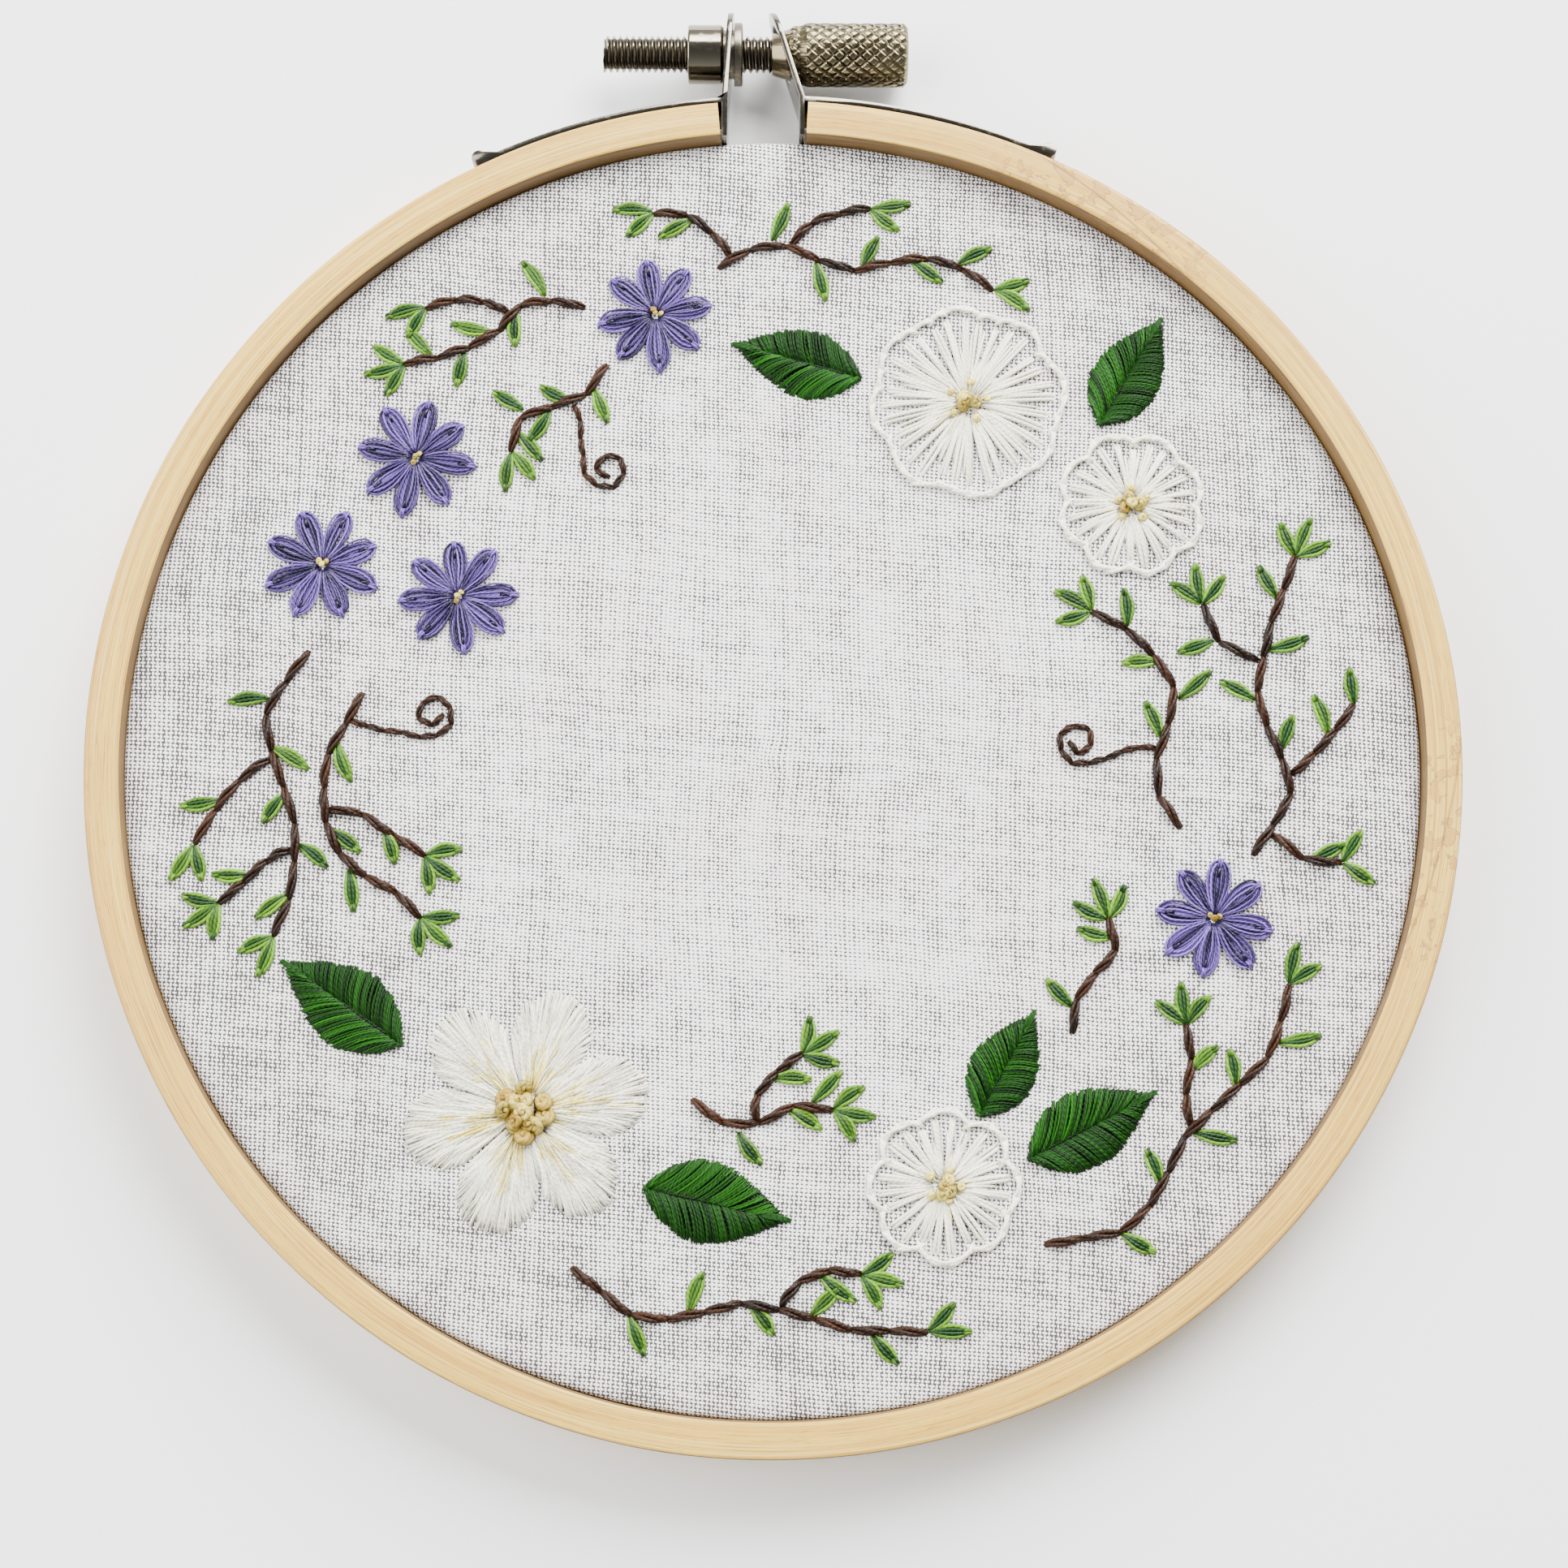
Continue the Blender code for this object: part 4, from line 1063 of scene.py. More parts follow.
def fishbone_leaf(row):
    middle = place_at(row["angle"], row["reach"])
    along, across = direction(row["points_to"]), direction(row["points_to"] + 90)
    length = row["length"] * MM
    count = round(row["length"] / 0.40)
    threads = []
    for lane in range(-7, 8):
        t = np.linspace(0.05 + 0.01 * abs(lane), 0.96 - 0.012 * abs(lane), 10)
        half = np.array([leaf_half_width(share, row) for share in t])
        flat = middle + along * (length * (t - 0.5))[:, None] + across * (half * lane * 0.115)[:, None]
        height = cloth_height(flat[:, 0], flat[:, 1]) + 0.10 * MM
        # The padding stitches are real, and they take the darkest shade, which is painted shade where they
        # show between the stitches.
        threads.append((np.column_stack([flat, height]), 0.24 * MM, 0.05, 0.0))
    for side in (-1, 1):
        for k in range(count):
            t = (k + 0.5 + chance.uniform(-0.18, 0.18)) / count
            half = leaf_half_width(t, row) * chance.uniform(0.95, 1.04) + 0.12 * MM
            root = max(t - (0.21 + 0.06 * side) * (1 - 0.25 * t) - 0.01, -0.01)
            rise = chance.uniform(0.44, 0.56) * MM
            stitch_shade = chance.uniform(0.1, 0.8)
            # Painted sheen: the stitches on one side of the leaf get more of the lighter green, as if that
            # side caught the light.
            painted_sheen_side = 0.55 if side > 0 else 0.30
            for ply in (-1, 1):
                shift = along * ply * 0.105 * MM
                outer = middle + along * length * (t - 0.5) + across * side * half + shift * 1.1
                inner = middle + along * length * (root - 0.5) - across * side * 0.26 * MM + shift
                threads.append((
                    laid_thread(outer, inner, 0.13 * MM, rise + chance.uniform(-0.03, 0.03) * MM, 9,
                                side * 0.05 + chance.uniform(-0.025, 0.025), 0.0, 0.05 * MM),
                    chance.uniform(0.12, 0.145) * MM,
                    clipped(stitch_shade + chance.uniform(-0.25, 0.35)),
                    clipped(painted_sheen_side * chance.uniform(0.0, 1.9)),
                ))
    tip = middle + along * length * 0.53
    for k in range(4):
        inner = middle + along * length * 0.28 + across * (k - 1.5) * 0.2 * MM
        threads.append((laid_thread(tip + across * (k - 1.5) * 0.08 * MM, inner, 0.14 * MM, 0.6 * MM, 8),
                        0.14 * MM, chance.uniform(0.3, 0.8), 0.4))
    return threads


leaf_threads = [fishbone_leaf(row) for row in LEAVES]
for number, threads in enumerate(leaf_threads, 1):
    piece = thread_mesh(f"leaf_stitches_{number}", threads)
    dress(piece, thread_materials["green"], "green_thread", "hoop", f"leaf_{number}")

# %% [markdown]
# An aster is eight lazy daisy petals. Each is a bundle of loops held at the tip by one small stitch.
# The floss changes from lilac to deep purple along its length, so the petals are streaky, and they
# are darkest where they meet. Small cream knots close the middle.

# %% Asters


def looped_petal(foot, angle, length, width, radius, plies, rise):
    """The threads of one lazy daisy petal: nested loops, and the small stitch that holds the tip."""
    threads = []
    along, across = direction(angle), direction(angle + 90)
    turn_round = np.linspace(-math.pi, math.pi, 19)
    forward_share = 0.5 + 0.5 * np.cos(turn_round)
    for ply in range(plies):
        inset = ply / (plies - 1)
        forward = length * (1 - 0.13 * inset * chance.uniform(0.7, 1.3)) * forward_share
        sideways = 1.33 * width / 2 * (1 - 0.92 * inset) * np.sin(turn_round) * np.sqrt(forward_share)
        flat = foot + forward[:, None] * along + sideways[:, None] * across
        flat += chance.normal(0, 0.025 * MM, flat.shape)
        arch = np.clip((forward_share - 0.004) * 9, 0, 1) ** 0.6
        tip_dip = 1 - 0.45 * np.clip((forward_share - 0.88) / 0.12, 0, 1)
        height = cloth_height(flat[:, 0], flat[:, 1]) + radius * 0.4
        ply_rise = rise + 0.10 * (-1) ** ply + chance.uniform(-0.05, 0.05)
        height += ply_rise * MM * arch * tip_dip - radius * 2.5 * (1 - arch)
        streak = chance.uniform(-0.30, 0.95, 2)
        tone = np.where(turn_round < 0, streak[0], streak[1]) + 0.4 * inset**2
        tone = tone + 0.75 * np.exp(-forward_share / 0.20) + 0.25 * np.sin(turn_round * 2.3 + ply * 1.7)
        threads.append((np.column_stack([flat, height]), radius * chance.uniform(0.9, 1.1),
                        chance.uniform(0.3, 0.95), np.clip(tone, 0, 1)))
    tip = foot + along * length
    heart = laid_thread(tip - along * 1.9 * MM, tip - along * 0.55 * MM, radius, (rise + 0.16) * MM, 6)
    threads.append((heart, radius * 1.6, 0.0, 1.0))
    for side, tone in ((-0.12, 0.0), (0.12, 0.35)):
        start = tip - along * 0.85 * MM + across * side * MM
        end = tip + along * 0.26 * MM + across * side * MM
        hold = laid_thread(start, end, radius, (rise + 0.26) * MM, 6)
        threads.append((hold, radius * 1.15, chance.uniform(0.5, 0.95), tone))
    return threads


def aster(row):
    middle = place_at(row["angle"], row["reach"])
    threads = []
    for petal in range(8):
        angle = row["turn"] + petal * 45 + chance.uniform(-3.0, 3.0)
        length = row["radius"] * MM * chance.uniform(0.84, 0.92)
        foot = middle + direction(angle) * 0.35 * MM
        threads += looped_petal(foot, angle, length, 2.4 * MM, 0.13 * MM, 6, 0.36)
        outer = middle + direction(angle) * length * 0.80
        inner = middle + direction(angle) * 0.6 * MM
        threads.append((laid_thread(outer, inner, 0.14 * MM, 0.26 * MM, 6), 0.15 * MM, 0.1, 1.0))
    return threads


aster_threads = [aster(row) for row in ASTERS]
for number, threads in enumerate(aster_threads, 1):
    piece = thread_mesh(f"aster_stitches_{number}", threads)
    dress(piece, thread_materials["purple"], "purple_thread", "hoop", f"aster_{number}")

# %% [markdown]
# Stems are worked in split stitch: short straight stitches, each starting inside the end of the last
# one. Every stitch is three strands that twist round each other, fat in the middle and thin at the
# holes. The route is the same smooth curve as the solid's, and the stitches cut its corners, as
# straight stitches do. A twig's first stitch starts on the stem that it grows from.

# %% Stems and tendrils


def smooth_route(places, step=0.35):
    """Points a fixed step apart, in metres, on a smooth curve through the places."""
    ends = [places[0] * 2 - places[1], *places, places[-1] * 2 - places[-2]]
    dense = []
    t = np.linspace(0, 1, 24, endpoint=False)[:, None]
    for before, start, end, after in zip(ends, ends[1:], ends[2:], ends[3:]):
        dense.append(0.5 * (2 * start + (end - before) * t + (2 * before - 5 * start + 4 * end - after) * t**2
                            + (3 * start - before - 3 * end + after) * t**3))
    dense = np.vstack([*dense, places[-1][None]])
    lengths = np.concatenate([[0], np.cumsum(np.linalg.norm(np.diff(dense, axis=0), axis=1))])
    wanted = np.arange(0, lengths[-1], step * MM)
    return np.column_stack([np.interp(wanted, lengths, dense[:, 0]), np.interp(wanted, lengths, dense[:, 1])])


def tendril_route(row):
    start = place_at(row["angle"], row["reach"])
    along = direction(row["heading"])
    side = 1 if row["turns"] > 0 else -1
    curl_start = start + along * row["length"] * MM
    inward = np.array([-along[1], along[0]]) * side
    middle = curl_start + inward * 2.6 * MM
    first = math.degrees(math.atan2(-inward[1], -inward[0]))
    route = [start + (curl_start - start) * k / 3 for k in range(3)]
    for k in range(17):
        t = k / 16
        route.append(middle + direction(first + 360 * row["turns"] * t) * 2.6 * MM * (1 - 0.58 * t**0.8))
    return smooth_route(route)


def from_the_stem(route, stem_places):
    """Starts a twig on the stem that it grows from, if that is within five millimetres."""
    gap = np.linalg.norm(stem_places - route[0], axis=1)
    if gap.min() > 5 * MM:
        return route
    foot = stem_places[gap.argmin()]
    steps = max(2, round(gap.min() / (0.35 * MM)))
    return np.vstack([foot + (route[0] - foot) * k / steps for k in range(steps)] + [route])


def split_stitches(route, stitch, lap, radius, bundle):
    """Three twisting strands for every stitch along a route of evenly spaced points."""
    spacing = np.linalg.norm(np.diff(route, axis=0), axis=1).mean() / MM
    count = max(1, round((len(route) * spacing - lap) / (stitch - lap)))
    per_step = (len(route) - 1 - lap / spacing) / count
    threads = []
    t = np.linspace(0, 1, 11)
    swell = np.sin(np.pi * t) ** 0.6
    for number in range(count):
        begin = number * per_step
        picks = np.linspace(begin, min(begin + per_step + lap / spacing, len(route) - 1), 11)
        flat = np.column_stack([np.interp(picks, np.arange(len(route)), route[:, k]) for k in (0, 1)])
        chord = flat[0] + (flat[-1] - flat[0]) * t[:, None]
        flat = chord * 0.7 + flat * 0.3
        tangent = (flat[-1] - flat[0]) / np.linalg.norm(flat[-1] - flat[0])
        across = np.array([-tangent[1], tangent[0]])
        base_tone, base_shade = chance.uniform(0.0, 0.6), chance.uniform(0.2, 0.7)
        lean = (1 if number % 2 else -1) * 0.10 * (1 - 2 * t)
        start_phase = chance.uniform(0, math.tau)
        for strand in range(3):
            phase = start_phase + strand * math.tau / 3 + t * 3.4
            sideways = (np.cos(phase) * bundle * (0.25 + 0.75 * swell) + lean) * MM
            spot = flat + across * sideways[:, None]
            lift = ((np.sin(phase) * 0.75 + 1.0) * bundle + 0.06) * swell * MM
            height = cloth_height(spot[:, 0], spot[:, 1]) + radius * 0.6 + lift - radius * 2.4 * (1 - swell)
            threads.append((np.column_stack([spot, height]), radius * (0.45 + 0.55 * swell),
                            clipped(base_shade + chance.uniform(-0.2, 0.4)),
                            clipped(base_tone + chance.uniform(-0.2, 0.4))))
    return threads


routes = {}
for name, rows in STEMS.items():
    routes[name] = smooth_route([place_at(angle, reach) for angle, reach in rows])
for name, row in TENDRILS.items():
    routes[name] = tendril_route(row)
stems = [name for name in routes if "twig" not in name and not name.startswith("tendril")]
for name in routes:
    if name not in stems:
        routes[name] = from_the_stem(routes[name], np.vstack([routes[stem] for stem in stems]))
stem_threads = {}
for name, route in routes.items():
    thin = name.startswith("tendril")
    stem_threads[name] = split_stitches(route, 2.4 if thin else 4.6, 0.5 if thin else 0.7,
                                        (0.20 if thin else 0.265) * MM, 0.20 if thin else 0.30)
    piece = thread_mesh(name + "_stitches", stem_threads[name])
    dress(piece, thread_materials["brown"], "brown_thread", "hoop", name)

# %% [markdown]
# Leaflets sit along the twigs, alone or three at a tip. Each is four fat strands laid side by side
# from its foot to its tip, with a small stitch across the end, in a floss that changes from light to
# dark green. A leaflet is left out where it would cross another motif, which the code checks with
# circles round the flowers and leaves.

# %% Leaflets
blocked = [(place_at(r["angle"], r["reach"]), r["radius"] * MM) for r in (BLOSSOM, *ROSETTES, *ASTERS)]
for row in LEAVES:
    blocked += [(place_at(row["angle"], row["reach"]) + direction(row["points_to"]) * row["length"] * MM * s,
                 row["width"] * MM * w) for s, w in ((-0.25, 0.42), (0.0, 0.5), (0.25, 0.4), (0.45, 0.15))]
stem_points = {name: route[::4] for name, route in routes.items()}
leaflet_middles = []
leaflet_threads = []


def leaflet_fits(foot, tip, own):
    probe = foot + (tip - foot) * 0.6
    if np.linalg.norm(tip - (HOOP_X, HOOP_Y)) > 64.5 * MM:
        return False
    if any(np.linalg.norm(tip - spot) < reach + 0.6 * MM for spot, reach in blocked):
        return False
    for name, spots in stem_points.items():
        near = 1.7 if name != own else 1.0
        if any(np.linalg.norm(spots - place, axis=1).min() < near * MM for place in (probe, tip)):
            return False
    return all(np.linalg.norm(probe - other) > 1.5 * MM for other in leaflet_middles)


def add_leaflet(foot, angle, length, own):
    along, across = direction(angle), direction(angle + 90)
    tip = foot + along * length * MM
    if not leaflet_fits(foot, tip, own):
        return
    leaflet_middles.append(foot + (tip - foot) * 0.6)
    t = np.linspace(0, 1, 10)
    swell = np.sin(np.pi * t) ** 0.5
    lean = chance.uniform(-0.25, 0.25)
    dark = chance.uniform(-0.15, 0.25)
    for lane, tone in ((-1, 0.15), (-0.33, 0.95), (0.33, 0.80), (1, 0.0)):
        side = (lane * 0.60 * np.sin(np.pi * t**1.25) ** 0.8 + lean * np.sin(np.pi * t)) * MM
        flat = foot + along * (length * MM * t)[:, None] + across * side[:, None]
        rise = 0.30 + 0.10 * (1 - abs(lane)) + chance.uniform(-0.04, 0.04)
        height = cloth_height(flat[:, 0], flat[:, 1]) + rise * MM * swell - 0.25 * MM * (1 - swell)
        leaflet_threads.append((np.column_stack([flat, height]), 0.215 * MM * (0.7 + 0.3 * swell),
                                chance.uniform(0.3, 0.95),
                                clipped(tone + dark + chance.uniform(-0.2, 0.25))))
    for side in (-0.14, 0.14):
        start = tip - along * 0.7 * MM + across * side * MM
        end = tip + along * 0.12 * MM + across * side * MM
        leaflet_threads.append((laid_thread(start, end, 0.18 * MM, 0.5 * MM, 6), 0.19 * MM,
                                chance.uniform(0.3, 0.8), chance.uniform(0.0, 1.0)))


for name, route in routes.items():
    if name.startswith("tendril"):
        continue
    ahead = math.degrees(math.atan2(*(route[-1] - route[-5])[::-1]))
    for swing, length in ((0, 4.4), (46, 3.9), (-46, 3.9)):
        add_leaflet(route[-1] - direction(ahead) * 0.35 * MM, ahead + swing, length, name)
    shares = (0.2, 0.36, 0.52, 0.68, 0.84) if "twig" not in name else (0.55,)
    for k, share in enumerate(shares):
        spot = round(share * (len(route) - 1))
        tangent = route[min(spot + 2, len(route) - 1)] - route[spot - 2]
        side = 1 if (k + len(name)) % 2 else -1
        angle = math.degrees(math.atan2(tangent[1], tangent[0])) + side * chance.uniform(38, 62)
        add_leaflet(route[spot] + direction(angle) * 0.20 * MM, angle, chance.uniform(3.7, 4.7), name)
leaflets = thread_mesh("leaflet_stitches", leaflet_threads)
dress(leaflets, thread_materials["leaflet"], "green_thread", "hoop")
print("leaflets", len(leaflet_middles))

# %% [markdown]
# A French knot is thread wound round the needle and pulled down: a small tight coil that often
# tips to one side. The coil is drawn as a path, and each knot is a copy of it, turned, tipped and
# sized a little differently. They are heaped in the hearts of the flowers.

# %% French knots


def knot_path(spot, radius, height, tip_over):
    """A coil of nearly three turns that ends in the middle, over the first turns."""
    t = np.linspace(0, 1, 34)
    turn_at = chance.uniform(0, math.tau) + t * math.tau * 2.8
    reach = radius * np.where(t < 0.7, 1.0 - 0.15 * t, 0.895 * (1 - t) / 0.3 * 0.97 + 0.03)
    flat = np.column_stack([np.cos(turn_at), np.sin(turn_at)]) * reach[:, None]
    rise = radius * (0.15 + 1.15 * t - 0.15 * np.sin(t * np.pi))
    lean = chance.uniform(-1, 1, 2) * tip_over
    rise = rise + flat @ lean
    return np.column_stack([spot + flat, cloth_height(spot[0], spot[1]) + height + rise])


def heap_of_knots(row, count, spread, radius, height, crowd=1.45):
    middle = place_at(row["angle"], row["reach"])
    threads, spots = [], [middle]
    for k in range(count * 60):
        if len(spots) >= count:
            break
        spot = middle + direction(chance.uniform(0, 360)) * spread * math.sqrt(chance.random()) * MM
        if all(np.linalg.norm(spot - other) > radius * crowd * MM for other in spots):
            spots.append(spot)
    for spot in spots:
        lift = height + 0.40 * (1 - np.linalg.norm(spot - middle) / (spread * MM + 1e-9))
        size = radius * chance.uniform(0.88, 1.15) * MM
        threads.append((knot_path(spot, size * 0.60, lift * MM, 1.2), size * 0.34,
                        chance.uniform(0.25, 0.95), clipped(chance.normal(0.42, 0.38))))
    return threads


heap = heap_of_knots(BLOSSOM, 11, 2.4, 1.08, 0.50, 1.15) + heap_of_knots(BLOSSOM, 4, 1.3, 1.05, 0.95, 1.1)
knots = thread_mesh("blossom_french_knots", heap)
dress(knots, thread_materials["cream"], "cream_thread", "hoop", "blossom_knots")
for number, row in enumerate(ROSETTES, 1):
    heart = heap_of_knots(row, 4, 0.85, 0.80, 0.60, 0.85)
    for k in range(5):
        away = direction(row["turn"] + 72 * k) * row["knots"] * chance.uniform(0.75, 1.0) * MM
        spot = place_at(row["angle"], row["reach"]) + away
        size = 0.5 * chance.uniform(0.85, 1.15) * MM
        coil = knot_path(spot, size * 0.52, 0.45 * MM, 0.8)
        heart.append((coil, size * 0.42, chance.uniform(0.6, 1.0), 0.0))
    knots = thread_mesh(f"rosette_french_knots_{number}", heart)
    dress(knots, thread_materials["cream"], "cream_thread", "hoop", f"rosette_knots_{number}")
aster_heaps = [knot for row in ASTERS for knot in heap_of_knots(row, 3, 0.6, 0.36, 0.42)]
aster_knots = thread_mesh("aster_french_knots", aster_heaps)
dress(aster_knots, thread_materials["cream"], "cream_thread", "hoop")

# %% [markdown]
# The back of an embroidery shows how it was made. The same threads cross the cloth's underside,
# looser and less tidy, and the longer ones carry the floss from one motif to the next. They are
# made from a share of the front's stitches, turned over and moved a little.

# %% Back of the stitching
BACK_LEVEL = CLOTH_SHEET + 0.05 * MM


def turned_over(threads, share, radius):
    backs = []
    for points, _, shade, tone in threads:
        if chance.random() > share:
            continue
        first, last = points[0, :2].copy(), points[-1, :2].copy()
        first += chance.normal(0, 0.25 * MM, 2)
        last += chance.normal(0, 0.25 * MM, 2)
        if np.linalg.norm(last - first) < 0.6 * MM:
            last = first + chance.normal(0, 0.9 * MM, 2)
        t = np.linspace(0, 1, 6)
        flat = first + (last - first) * t[:, None]
        arch = np.sin(np.pi * t) ** 0.5
        height = cloth_height(flat[:, 0], flat[:, 1]) - BACK_LEVEL - radius * arch - 0.10 * MM * arch
        backs.append((np.column_stack([flat, height]), radius, shade, float(np.mean(tone))))
    return backs


def carried(spots, radius):
    """Long loose threads from each spot to the next, on the underside."""
    backs = []
    for first, last in zip(spots, spots[1:]):
        t = np.linspace(0, 1, 12)
        along = last - first
        across = np.array([-along[1], along[0]])
        flat = first + along * t[:, None] + across * (0.05 * np.sin(np.pi * t))[:, None]
        arch = np.sin(np.pi * t) ** 0.4
        height = cloth_height(flat[:, 0], flat[:, 1]) - BACK_LEVEL - radius * arch - 0.22 * MM * arch
        backs.append((np.column_stack([flat, height]), radius, 0.5, 0.3))
    return backs


white_backs = turned_over(blossom_threads, 0.45, 0.15 * MM)
for threads in rosette_threads:
    white_backs += turned_over(threads, 0.35, 0.15 * MM)
green_backs = [back for threads in leaf_threads for back in turned_over(threads, 0.6, 0.15 * MM)]
green_backs += turned_over(leaflet_threads, 0.25, 0.15 * MM)
purple_backs = [back for threads in aster_threads for back in turned_over(threads, 0.3, 0.15 * MM)]
brown_backs = [back for threads in stem_threads.values() for back in turned_over(threads, 0.75, 0.18 * MM)]
white_backs += carried([place_at(r["angle"], r["reach"] + 3) for r in ROSETTES[:2]], 0.16 * MM)
three_asters = (ASTERS[1], ASTERS[2], ASTERS[0])
purple_backs += carried([place_at(r["angle"], r["reach"] + 2) for r in three_asters], 0.16 * MM)
brown_backs += carried([routes["stem_left_twig_a"][-1], routes["stem_left_twig_b"][-1]], 0.16 * MM)
brown_backs += carried([routes["stem_right_twig_a"][-1], routes["stem_right_long"][40]], 0.16 * MM)
for name, backs in (("white", white_backs), ("green", green_backs), ("purple", purple_backs),
                    ("brown", brown_backs)):
    piece = thread_mesh(f"{name}_stitch_backs", backs)
    dress(piece, thread_materials[name], f"{name}_thread", "hoop")

# %% [markdown]
# The screw's axis runs along X. The knob is a knurled cylinder: two sets of fine grooves wind
# round it in opposite directions and leave small diamonds. It is spun from its outline first, and
# its points are then pushed in where the grooves run.

# %% Knurled knob
knob_low, knob_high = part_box("screw_knob")
rod_low, rod_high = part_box("screw_rod")
nut_low, nut_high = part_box("screw_nut")
SCREW_Y = (knob_low.y + knob_high.y) / 2
SCREW_Z = (knob_low.z + knob_high.z) / 2
KNOB_RADIUS = (knob_high.y - knob_low.y) / 2
ROD_RADIUS = (rod_high.y - rod_low.y) / 2
CONE_END = knob_low.x + 3.2 * MM
SOCKET = ROD_RADIUS + 0.08 * MM
SHANK_RADIUS = 3.12 * MM
KNOB_STEP = 0.115 * MM


def lathe_along_x(name, profile, steps):
    """Spins (radius, x) points round the screw's axis into a closed shape."""
    piece = section_line(name, [(x, SCREW_Y, SCREW_Z + r) for r, x in profile], closed=False)
    spin(piece, (0.0, SCREW_Y, SCREW_Z), (1, 0, 0), math.tau, steps)
    return piece


def knurled_profile():
    """The knob's outline: a flat end, a bevel, the knurled length, the cone and the rod's socket."""
    edge = 0.45 * MM
    points = [(0.0, knob_high.x), (KNOB_RADIUS * 0.5, knob_high.x),
              (KNOB_RADIUS - edge - 0.15 * MM, knob_high.x), (KNOB_RADIUS - edge, knob_high.x - 0.06 * MM)]
    points += [(KNOB_RADIUS, x) for x in np.arange(knob_high.x - edge, CONE_END + edge, -KNOB_STEP)]
    points += [(SHANK_RADIUS, CONE_END - 0.15 * MM)]
    points += [(SHANK_RADIUS, x) for x in np.arange(CONE_END - 0.3 * MM, knob_low.x + 2.3 * MM, -KNOB_STEP)]
    points += [(2.80 * MM, knob_low.x + 1.9 * MM), (2.28 * MM, knob_low.x + 0.15 * MM),
               (2.18 * MM, knob_low.x), (SOCKET, knob_low.x), (SOCKET, knob_low.x + 1.0 * MM),
               (0.0, knob_low.x + 1.0 * MM)]
    return points


knob = lathe_along_x("knurled_knob", knurled_profile(), 176)
places = coordinates(knob)
offset_y, offset_z = places[:, 1] - SCREW_Y, places[:, 2] - SCREW_Z
reach = np.hypot(offset_y, offset_z)
around = np.arctan2(offset_z, offset_y)
DIAMONDS = 16
pitch = 1.50 * MM
wind = DIAMONDS * around / math.tau
step_along = places[:, 0] / pitch
one_way = np.abs(np.sin(math.pi * (wind + step_along)))
other_way = np.abs(np.sin(math.pi * (wind - step_along)))
ridge = np.minimum(one_way, other_way)
groove_depth = np.clip(1 - ridge * 1.9, 0, 1)
worn = 0.75 + 0.25 * np.sin(around * 2 + places[:, 0] * 500)
full = (reach > 3.05 * MM).astype(float)
inward = 0.30 * MM * groove_depth * full * worn
places[:, 1] -= offset_y / np.maximum(reach, 1e-9) * inward
places[:, 2] -= offset_z / np.maximum(reach, 1e-9) * inward
set_coordinates(knob, places)
set_attribute(knob, "groove", groove_depth * full)
smooth(knob, 50)
dress(knob, knurled_nickel, "nickel_steel", "knob", "screw_knob")

# %% [markdown]
# The rod has a real thread: one ridge that winds along it, 0.7 mm for each turn. Blender's Screw
# modifier does that from one tooth of the profile. The winding runs past both ends, and a bisect
# cuts it square there and closes it. Its right end stands in the knob's socket, where it is fixed.

# %% Threaded rod
PITCH = 0.7 * MM
ROD_END = knob_low.x + 0.6 * MM
turns = math.ceil((ROD_END - rod_low.x) / PITCH) + 2
root = ROD_RADIUS - 0.40 * MM
tooth = [(root, 0.0), (root, 0.08), (ROD_RADIUS, 0.42), (ROD_RADIUS, 0.55), (root, 0.92), (root, 1.0)]
rod = section_line("threaded_rod", [(r, 0.0, share * PITCH) for r, share in tooth], closed=False)
only(rod)
bpy.ops.object.modifier_add(type="SCREW")
winding = rod.modifiers["Screw"]
winding.angle, winding.screw_offset, winding.iterations = math.tau, PITCH, turns
winding.steps = winding.render_steps = 30
winding.use_merge_vertices, winding.merge_threshold = True, 0.000004
bpy.ops.object.modifier_apply(modifier="Screw")
places = coordinates(rod)
along_rod = places[:, 2] - PITCH
places = np.column_stack([rod_low.x + along_rod, SCREW_Y + places[:, 0], SCREW_Z + places[:, 1]])
set_coordinates(rod, places)
only(rod)
bpy.ops.object.mode_set(mode="EDIT")
for cut_x, normal in ((rod_low.x + 0.02 * MM, (-1, 0, 0)), (ROD_END, (1, 0, 0))):
    bpy.ops.mesh.select_all(action="SELECT")
    bpy.ops.mesh.remove_doubles(threshold=0.000004)
    bpy.ops.mesh.select_all(action="SELECT")
    bpy.ops.mesh.bisect(plane_co=(cut_x, 0, 0), plane_no=normal, use_fill=True, clear_outer=True)
bpy.ops.mesh.select_all(action="SELECT")
bpy.ops.mesh.normals_make_consistent(inside=False)
bpy.ops.object.mode_set(mode="OBJECT")
places = coordinates(rod)
reach = np.hypot(places[:, 1] - SCREW_Y, places[:, 2] - SCREW_Z)
set_attribute(rod, "groove", np.clip((ROD_RADIUS - reach) / (0.40 * MM), 0, 1) ** 1.5)
smooth(rod, 50)
dress(rod, nickel, "nickel_steel", "rod", "screw_rod")

# %% [markdown]
# The nut is a smooth polished barrel, riveted through the left ear, with a flange on the other
# side. It is turned on a lathe in real life, and here it is spun from half of its outline, with
# small rounded edges that catch the light.

# %% Barrel nut
ear_low, ear_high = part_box("bracket_left")
shoulder = nut_low.x + 3.9 * MM
flange = nut_high.x - 0.9 * MM
bore = ROD_RADIUS + 0.12 * MM
NUT_RADIUS, FLANGE_RADIUS, NECK = 3.2 * MM, 3.45 * MM, 2.65 * MM


def with_round_corner(points, radius, at_radius, at_x, toward_radius, toward_x):
    """Adds a rounded corner: from a point toward_radius away to one toward_x away."""
    for k in range(5):
        a = math.radians(90 * k / 4)
        points.append((at_radius + toward_radius * radius * (1 - math.sin(a)),
                       at_x + toward_x * radius * (1 - math.cos(a))))


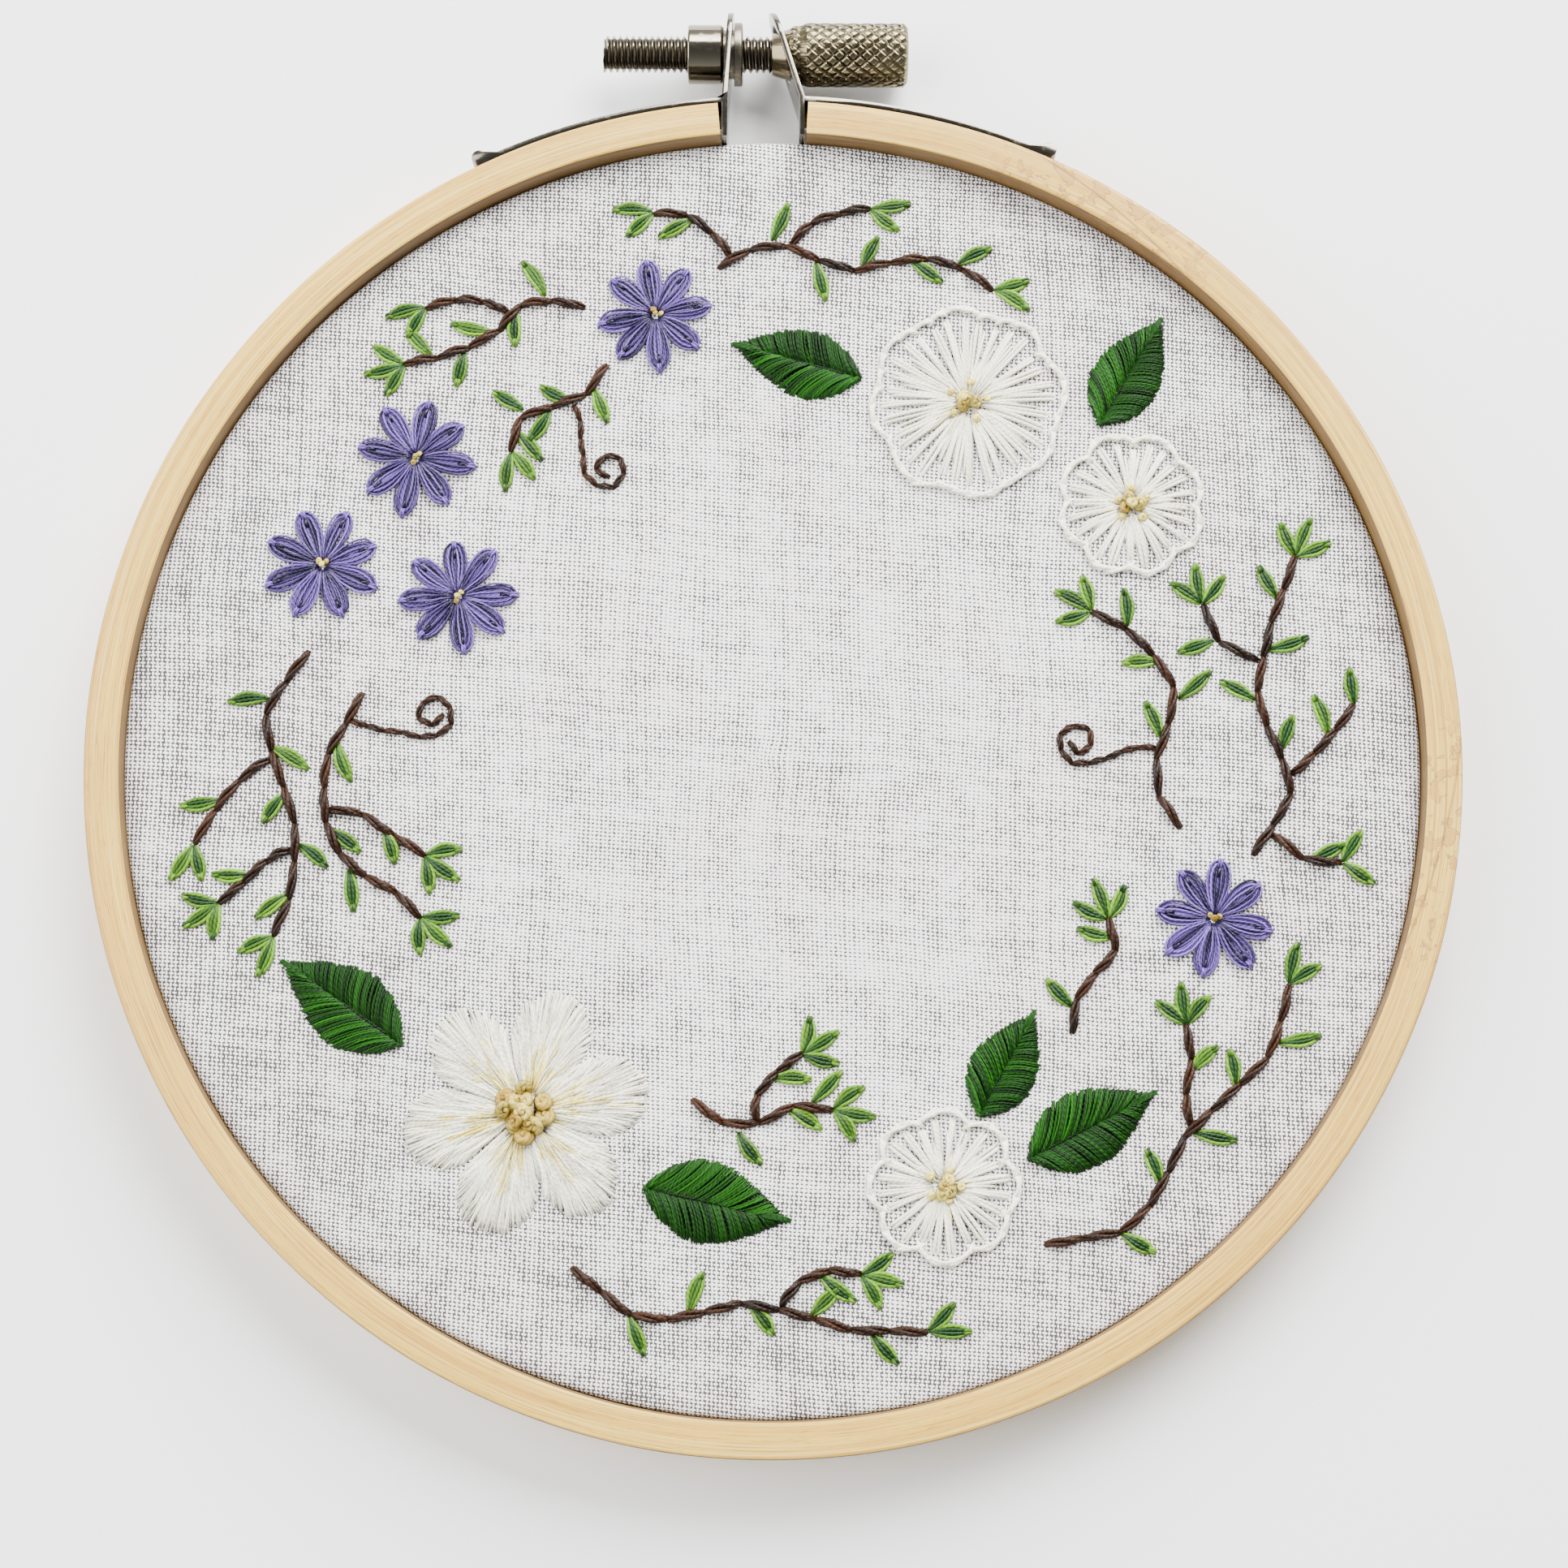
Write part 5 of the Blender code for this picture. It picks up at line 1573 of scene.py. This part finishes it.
profile = [(bore, nut_high.x)]
with_round_corner(profile, 0.25 * MM, FLANGE_RADIUS, nut_high.x, -1, -1)
profile += [(FLANGE_RADIUS, flange + 0.05 * MM), (FLANGE_RADIUS - 0.05 * MM, flange),
            (NECK, flange), (NECK, shoulder), (NUT_RADIUS - 0.3 * MM, shoulder),
            (NUT_RADIUS, shoulder - 0.3 * MM), (NUT_RADIUS, nut_low.x + 0.28 * MM)]
low_corner = []
with_round_corner(low_corner, 0.16 * MM, NUT_RADIUS, nut_low.x, -1, 1)
profile += list(reversed(low_corner))
profile += [(bore + 0.2 * MM, nut_low.x), (bore, nut_low.x + 0.2 * MM)]
profile.append(profile[0])
nut = lathe_along_x("barrel_nut", profile, 64)
set_attribute(nut, "groove", 0.6 * (coordinates(nut)[:, 0] > shoulder - 0.05 * MM))
smooth(nut, 40)
dress(nut, nickel, "nickel_steel", "hoop", "screw_nut")

# %% [markdown]
# Each bracket is one strip of sheet steel: a strap along the ring, a corner, and an ear that stands
# up to the screw. It is drawn as a flat outline, seen along the hoop's axis, and given its width by
# extruding it. The ear's top is rounded, and the screw's hole is cut, with a Boolean each. A small
# bevel softens every edge.

# %% Brackets
PLATE, STRAP, GAP, SEAT = 0.6 * MM, 0.55 * MM, 0.3 * MM, 0.06 * MM
STRAP_DEGREES, ROLL_MM = 21.5, 0.8
BRACKET_WIDTH = ear_high.z - ear_low.z
GAP_MIDDLE, GAP_HALF = (GAP_LEFT + GAP_RIGHT) / 2, (GAP_RIGHT - GAP_LEFT) / 2


def hoop_point(angle, reach):
    a = math.radians(angle)
    return Vector((HOOP_X + reach * math.cos(a), HOOP_Y + reach * math.sin(a)))


def bracket_outline(side, lean, top):
    """The strip seen along Z. side is -1 for the left bracket and 1 for the right one."""
    far = GAP_MIDDLE + side * GAP_HALF - side * GAP
    near = far - side * PLATE
    under, over = RING_OUTSIDE + SEAT, RING_OUTSIDE + SEAT + STRAP
    corner = math.degrees(math.acos(far / over))
    tip = corner - side * STRAP_DEGREES
    roll = hoop_point(tip, under + ROLL_MM * MM)
    rolled = []
    for k in range(13):
        a = math.radians(tip + side * (60 - 235 * k / 12))
        rolled.append(roll + Vector((math.cos(a), math.sin(a))) * ROLL_MM * MM)
    foot = HOOP_Y + over * math.sin(math.radians(corner))
    slope = Vector((-side * math.tan(math.radians(lean)), 1.0))
    end = HOOP_Y + math.sqrt((RING_OUTSIDE - RING_WALL) ** 2 - near**2)
    outer = [hoop_point(corner + (tip + side * 1.6 - corner) * k / 36, over) for k in range(37)]
    inner = [hoop_point(tip + side * 1.0 + (corner - tip - side * 1.0) * k / 36, under) for k in range(36)]
    up_the_ear = slope * (top - foot)
    ear = [Vector((near, foot)), Vector((near, foot)) + up_the_ear, Vector((far, foot)) + up_the_ear]
    return [*outer, *rolled, *inner, Vector((far, HOOP_Y + under * math.sin(math.radians(corner)))),
            Vector((far, end)), Vector((near, end)), *ear]


def cut_with(piece, cutter, operation):
    only(piece)
    bpy.ops.object.modifier_add(type="BOOLEAN")
    cut = piece.modifiers["Boolean"]
    cut.operation, cut.object, cut.solver = operation, cutter, "EXACT"
    bpy.ops.object.modifier_apply(modifier="Boolean")
    bpy.data.objects.remove(cutter, do_unlink=True)


def sheet_steel_bracket(name, side, lean, hole_radius, node):
    low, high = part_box(node)
    outline = bracket_outline(side, lean, high.y)
    curve = bpy.data.curves.new(name, "CURVE")
    curve.dimensions, curve.fill_mode, curve.extrude = "2D", "BOTH", BRACKET_WIDTH / 2
    spline = curve.splines.new("POLY")
    spline.points.add(len(outline) - 1)
    for point, place in zip(spline.points, outline):
        point.co = (place.x, place.y, 0.0, 1.0)
    spline.use_cyclic_u = True
    strip = bpy.data.objects.new(name, curve)
    bpy.context.scene.collection.objects.link(strip)
    only(strip)
    bpy.ops.object.convert(target="MESH")
    strip = bpy.context.object
    places = coordinates(strip)
    places[:, 2] += (low.z + high.z) / 2
    set_coordinates(strip, places)
    clean_faces(strip, 0.000004)
    bpy.ops.object.select_all(action="DESELECT")
    half = BRACKET_WIDTH / 2
    bpy.ops.mesh.primitive_cylinder_add(vertices=64, radius=half * 1.01, depth=0.3,
                                        location=(0, high.y - half, SCREW_Z), rotation=(0, math.pi / 2, 0))
    tab = bpy.context.object
    bpy.ops.object.transform_apply(location=True, rotation=True, scale=True)
    places = coordinates(tab)
    places[:, 1] = np.where(places[:, 1] < high.y - half, places[:, 1] - 0.1, places[:, 1])
    below = places[:, 1] < high.y - half - 0.05
    places[below, 2] = SCREW_Z + np.where(places[below, 2] > SCREW_Z, 1, -1) * half * 1.01
    set_coordinates(tab, places)
    clean_faces(tab, 0.000001)
    cut_with(strip, tab, "INTERSECT")
    bpy.ops.object.select_all(action="DESELECT")
    hole_middle = (GAP_MIDDLE + side * GAP_HALF, SCREW_Y, SCREW_Z)
    bpy.ops.mesh.primitive_cylinder_add(vertices=48, radius=hole_radius, depth=12 * MM,
                                        location=hole_middle, rotation=(0, math.pi / 2, 0))
    cut_with(strip, bpy.context.object, "DIFFERENCE")
    only(strip)
    bpy.ops.object.modifier_add(type="BEVEL")
    soft = strip.modifiers["Bevel"]
    soft.width, soft.segments, soft.limit_method, soft.angle_limit = 0.1 * MM, 2, "ANGLE", math.radians(50)
    bpy.ops.object.modifier_apply(modifier="Bevel")
    set_attribute(strip, "groove", np.zeros(len(strip.data.vertices)))
    smooth(strip, 40)
    dress(strip, dull_nickel, "nickel_steel", "hoop", node)


sheet_steel_bracket("left_strap_and_ear", -1, 3.0, 2.95 * MM, "bracket_left")
sheet_steel_bracket("right_strap_and_ear", 1, 17.5, 3.2 * MM, "bracket_right")
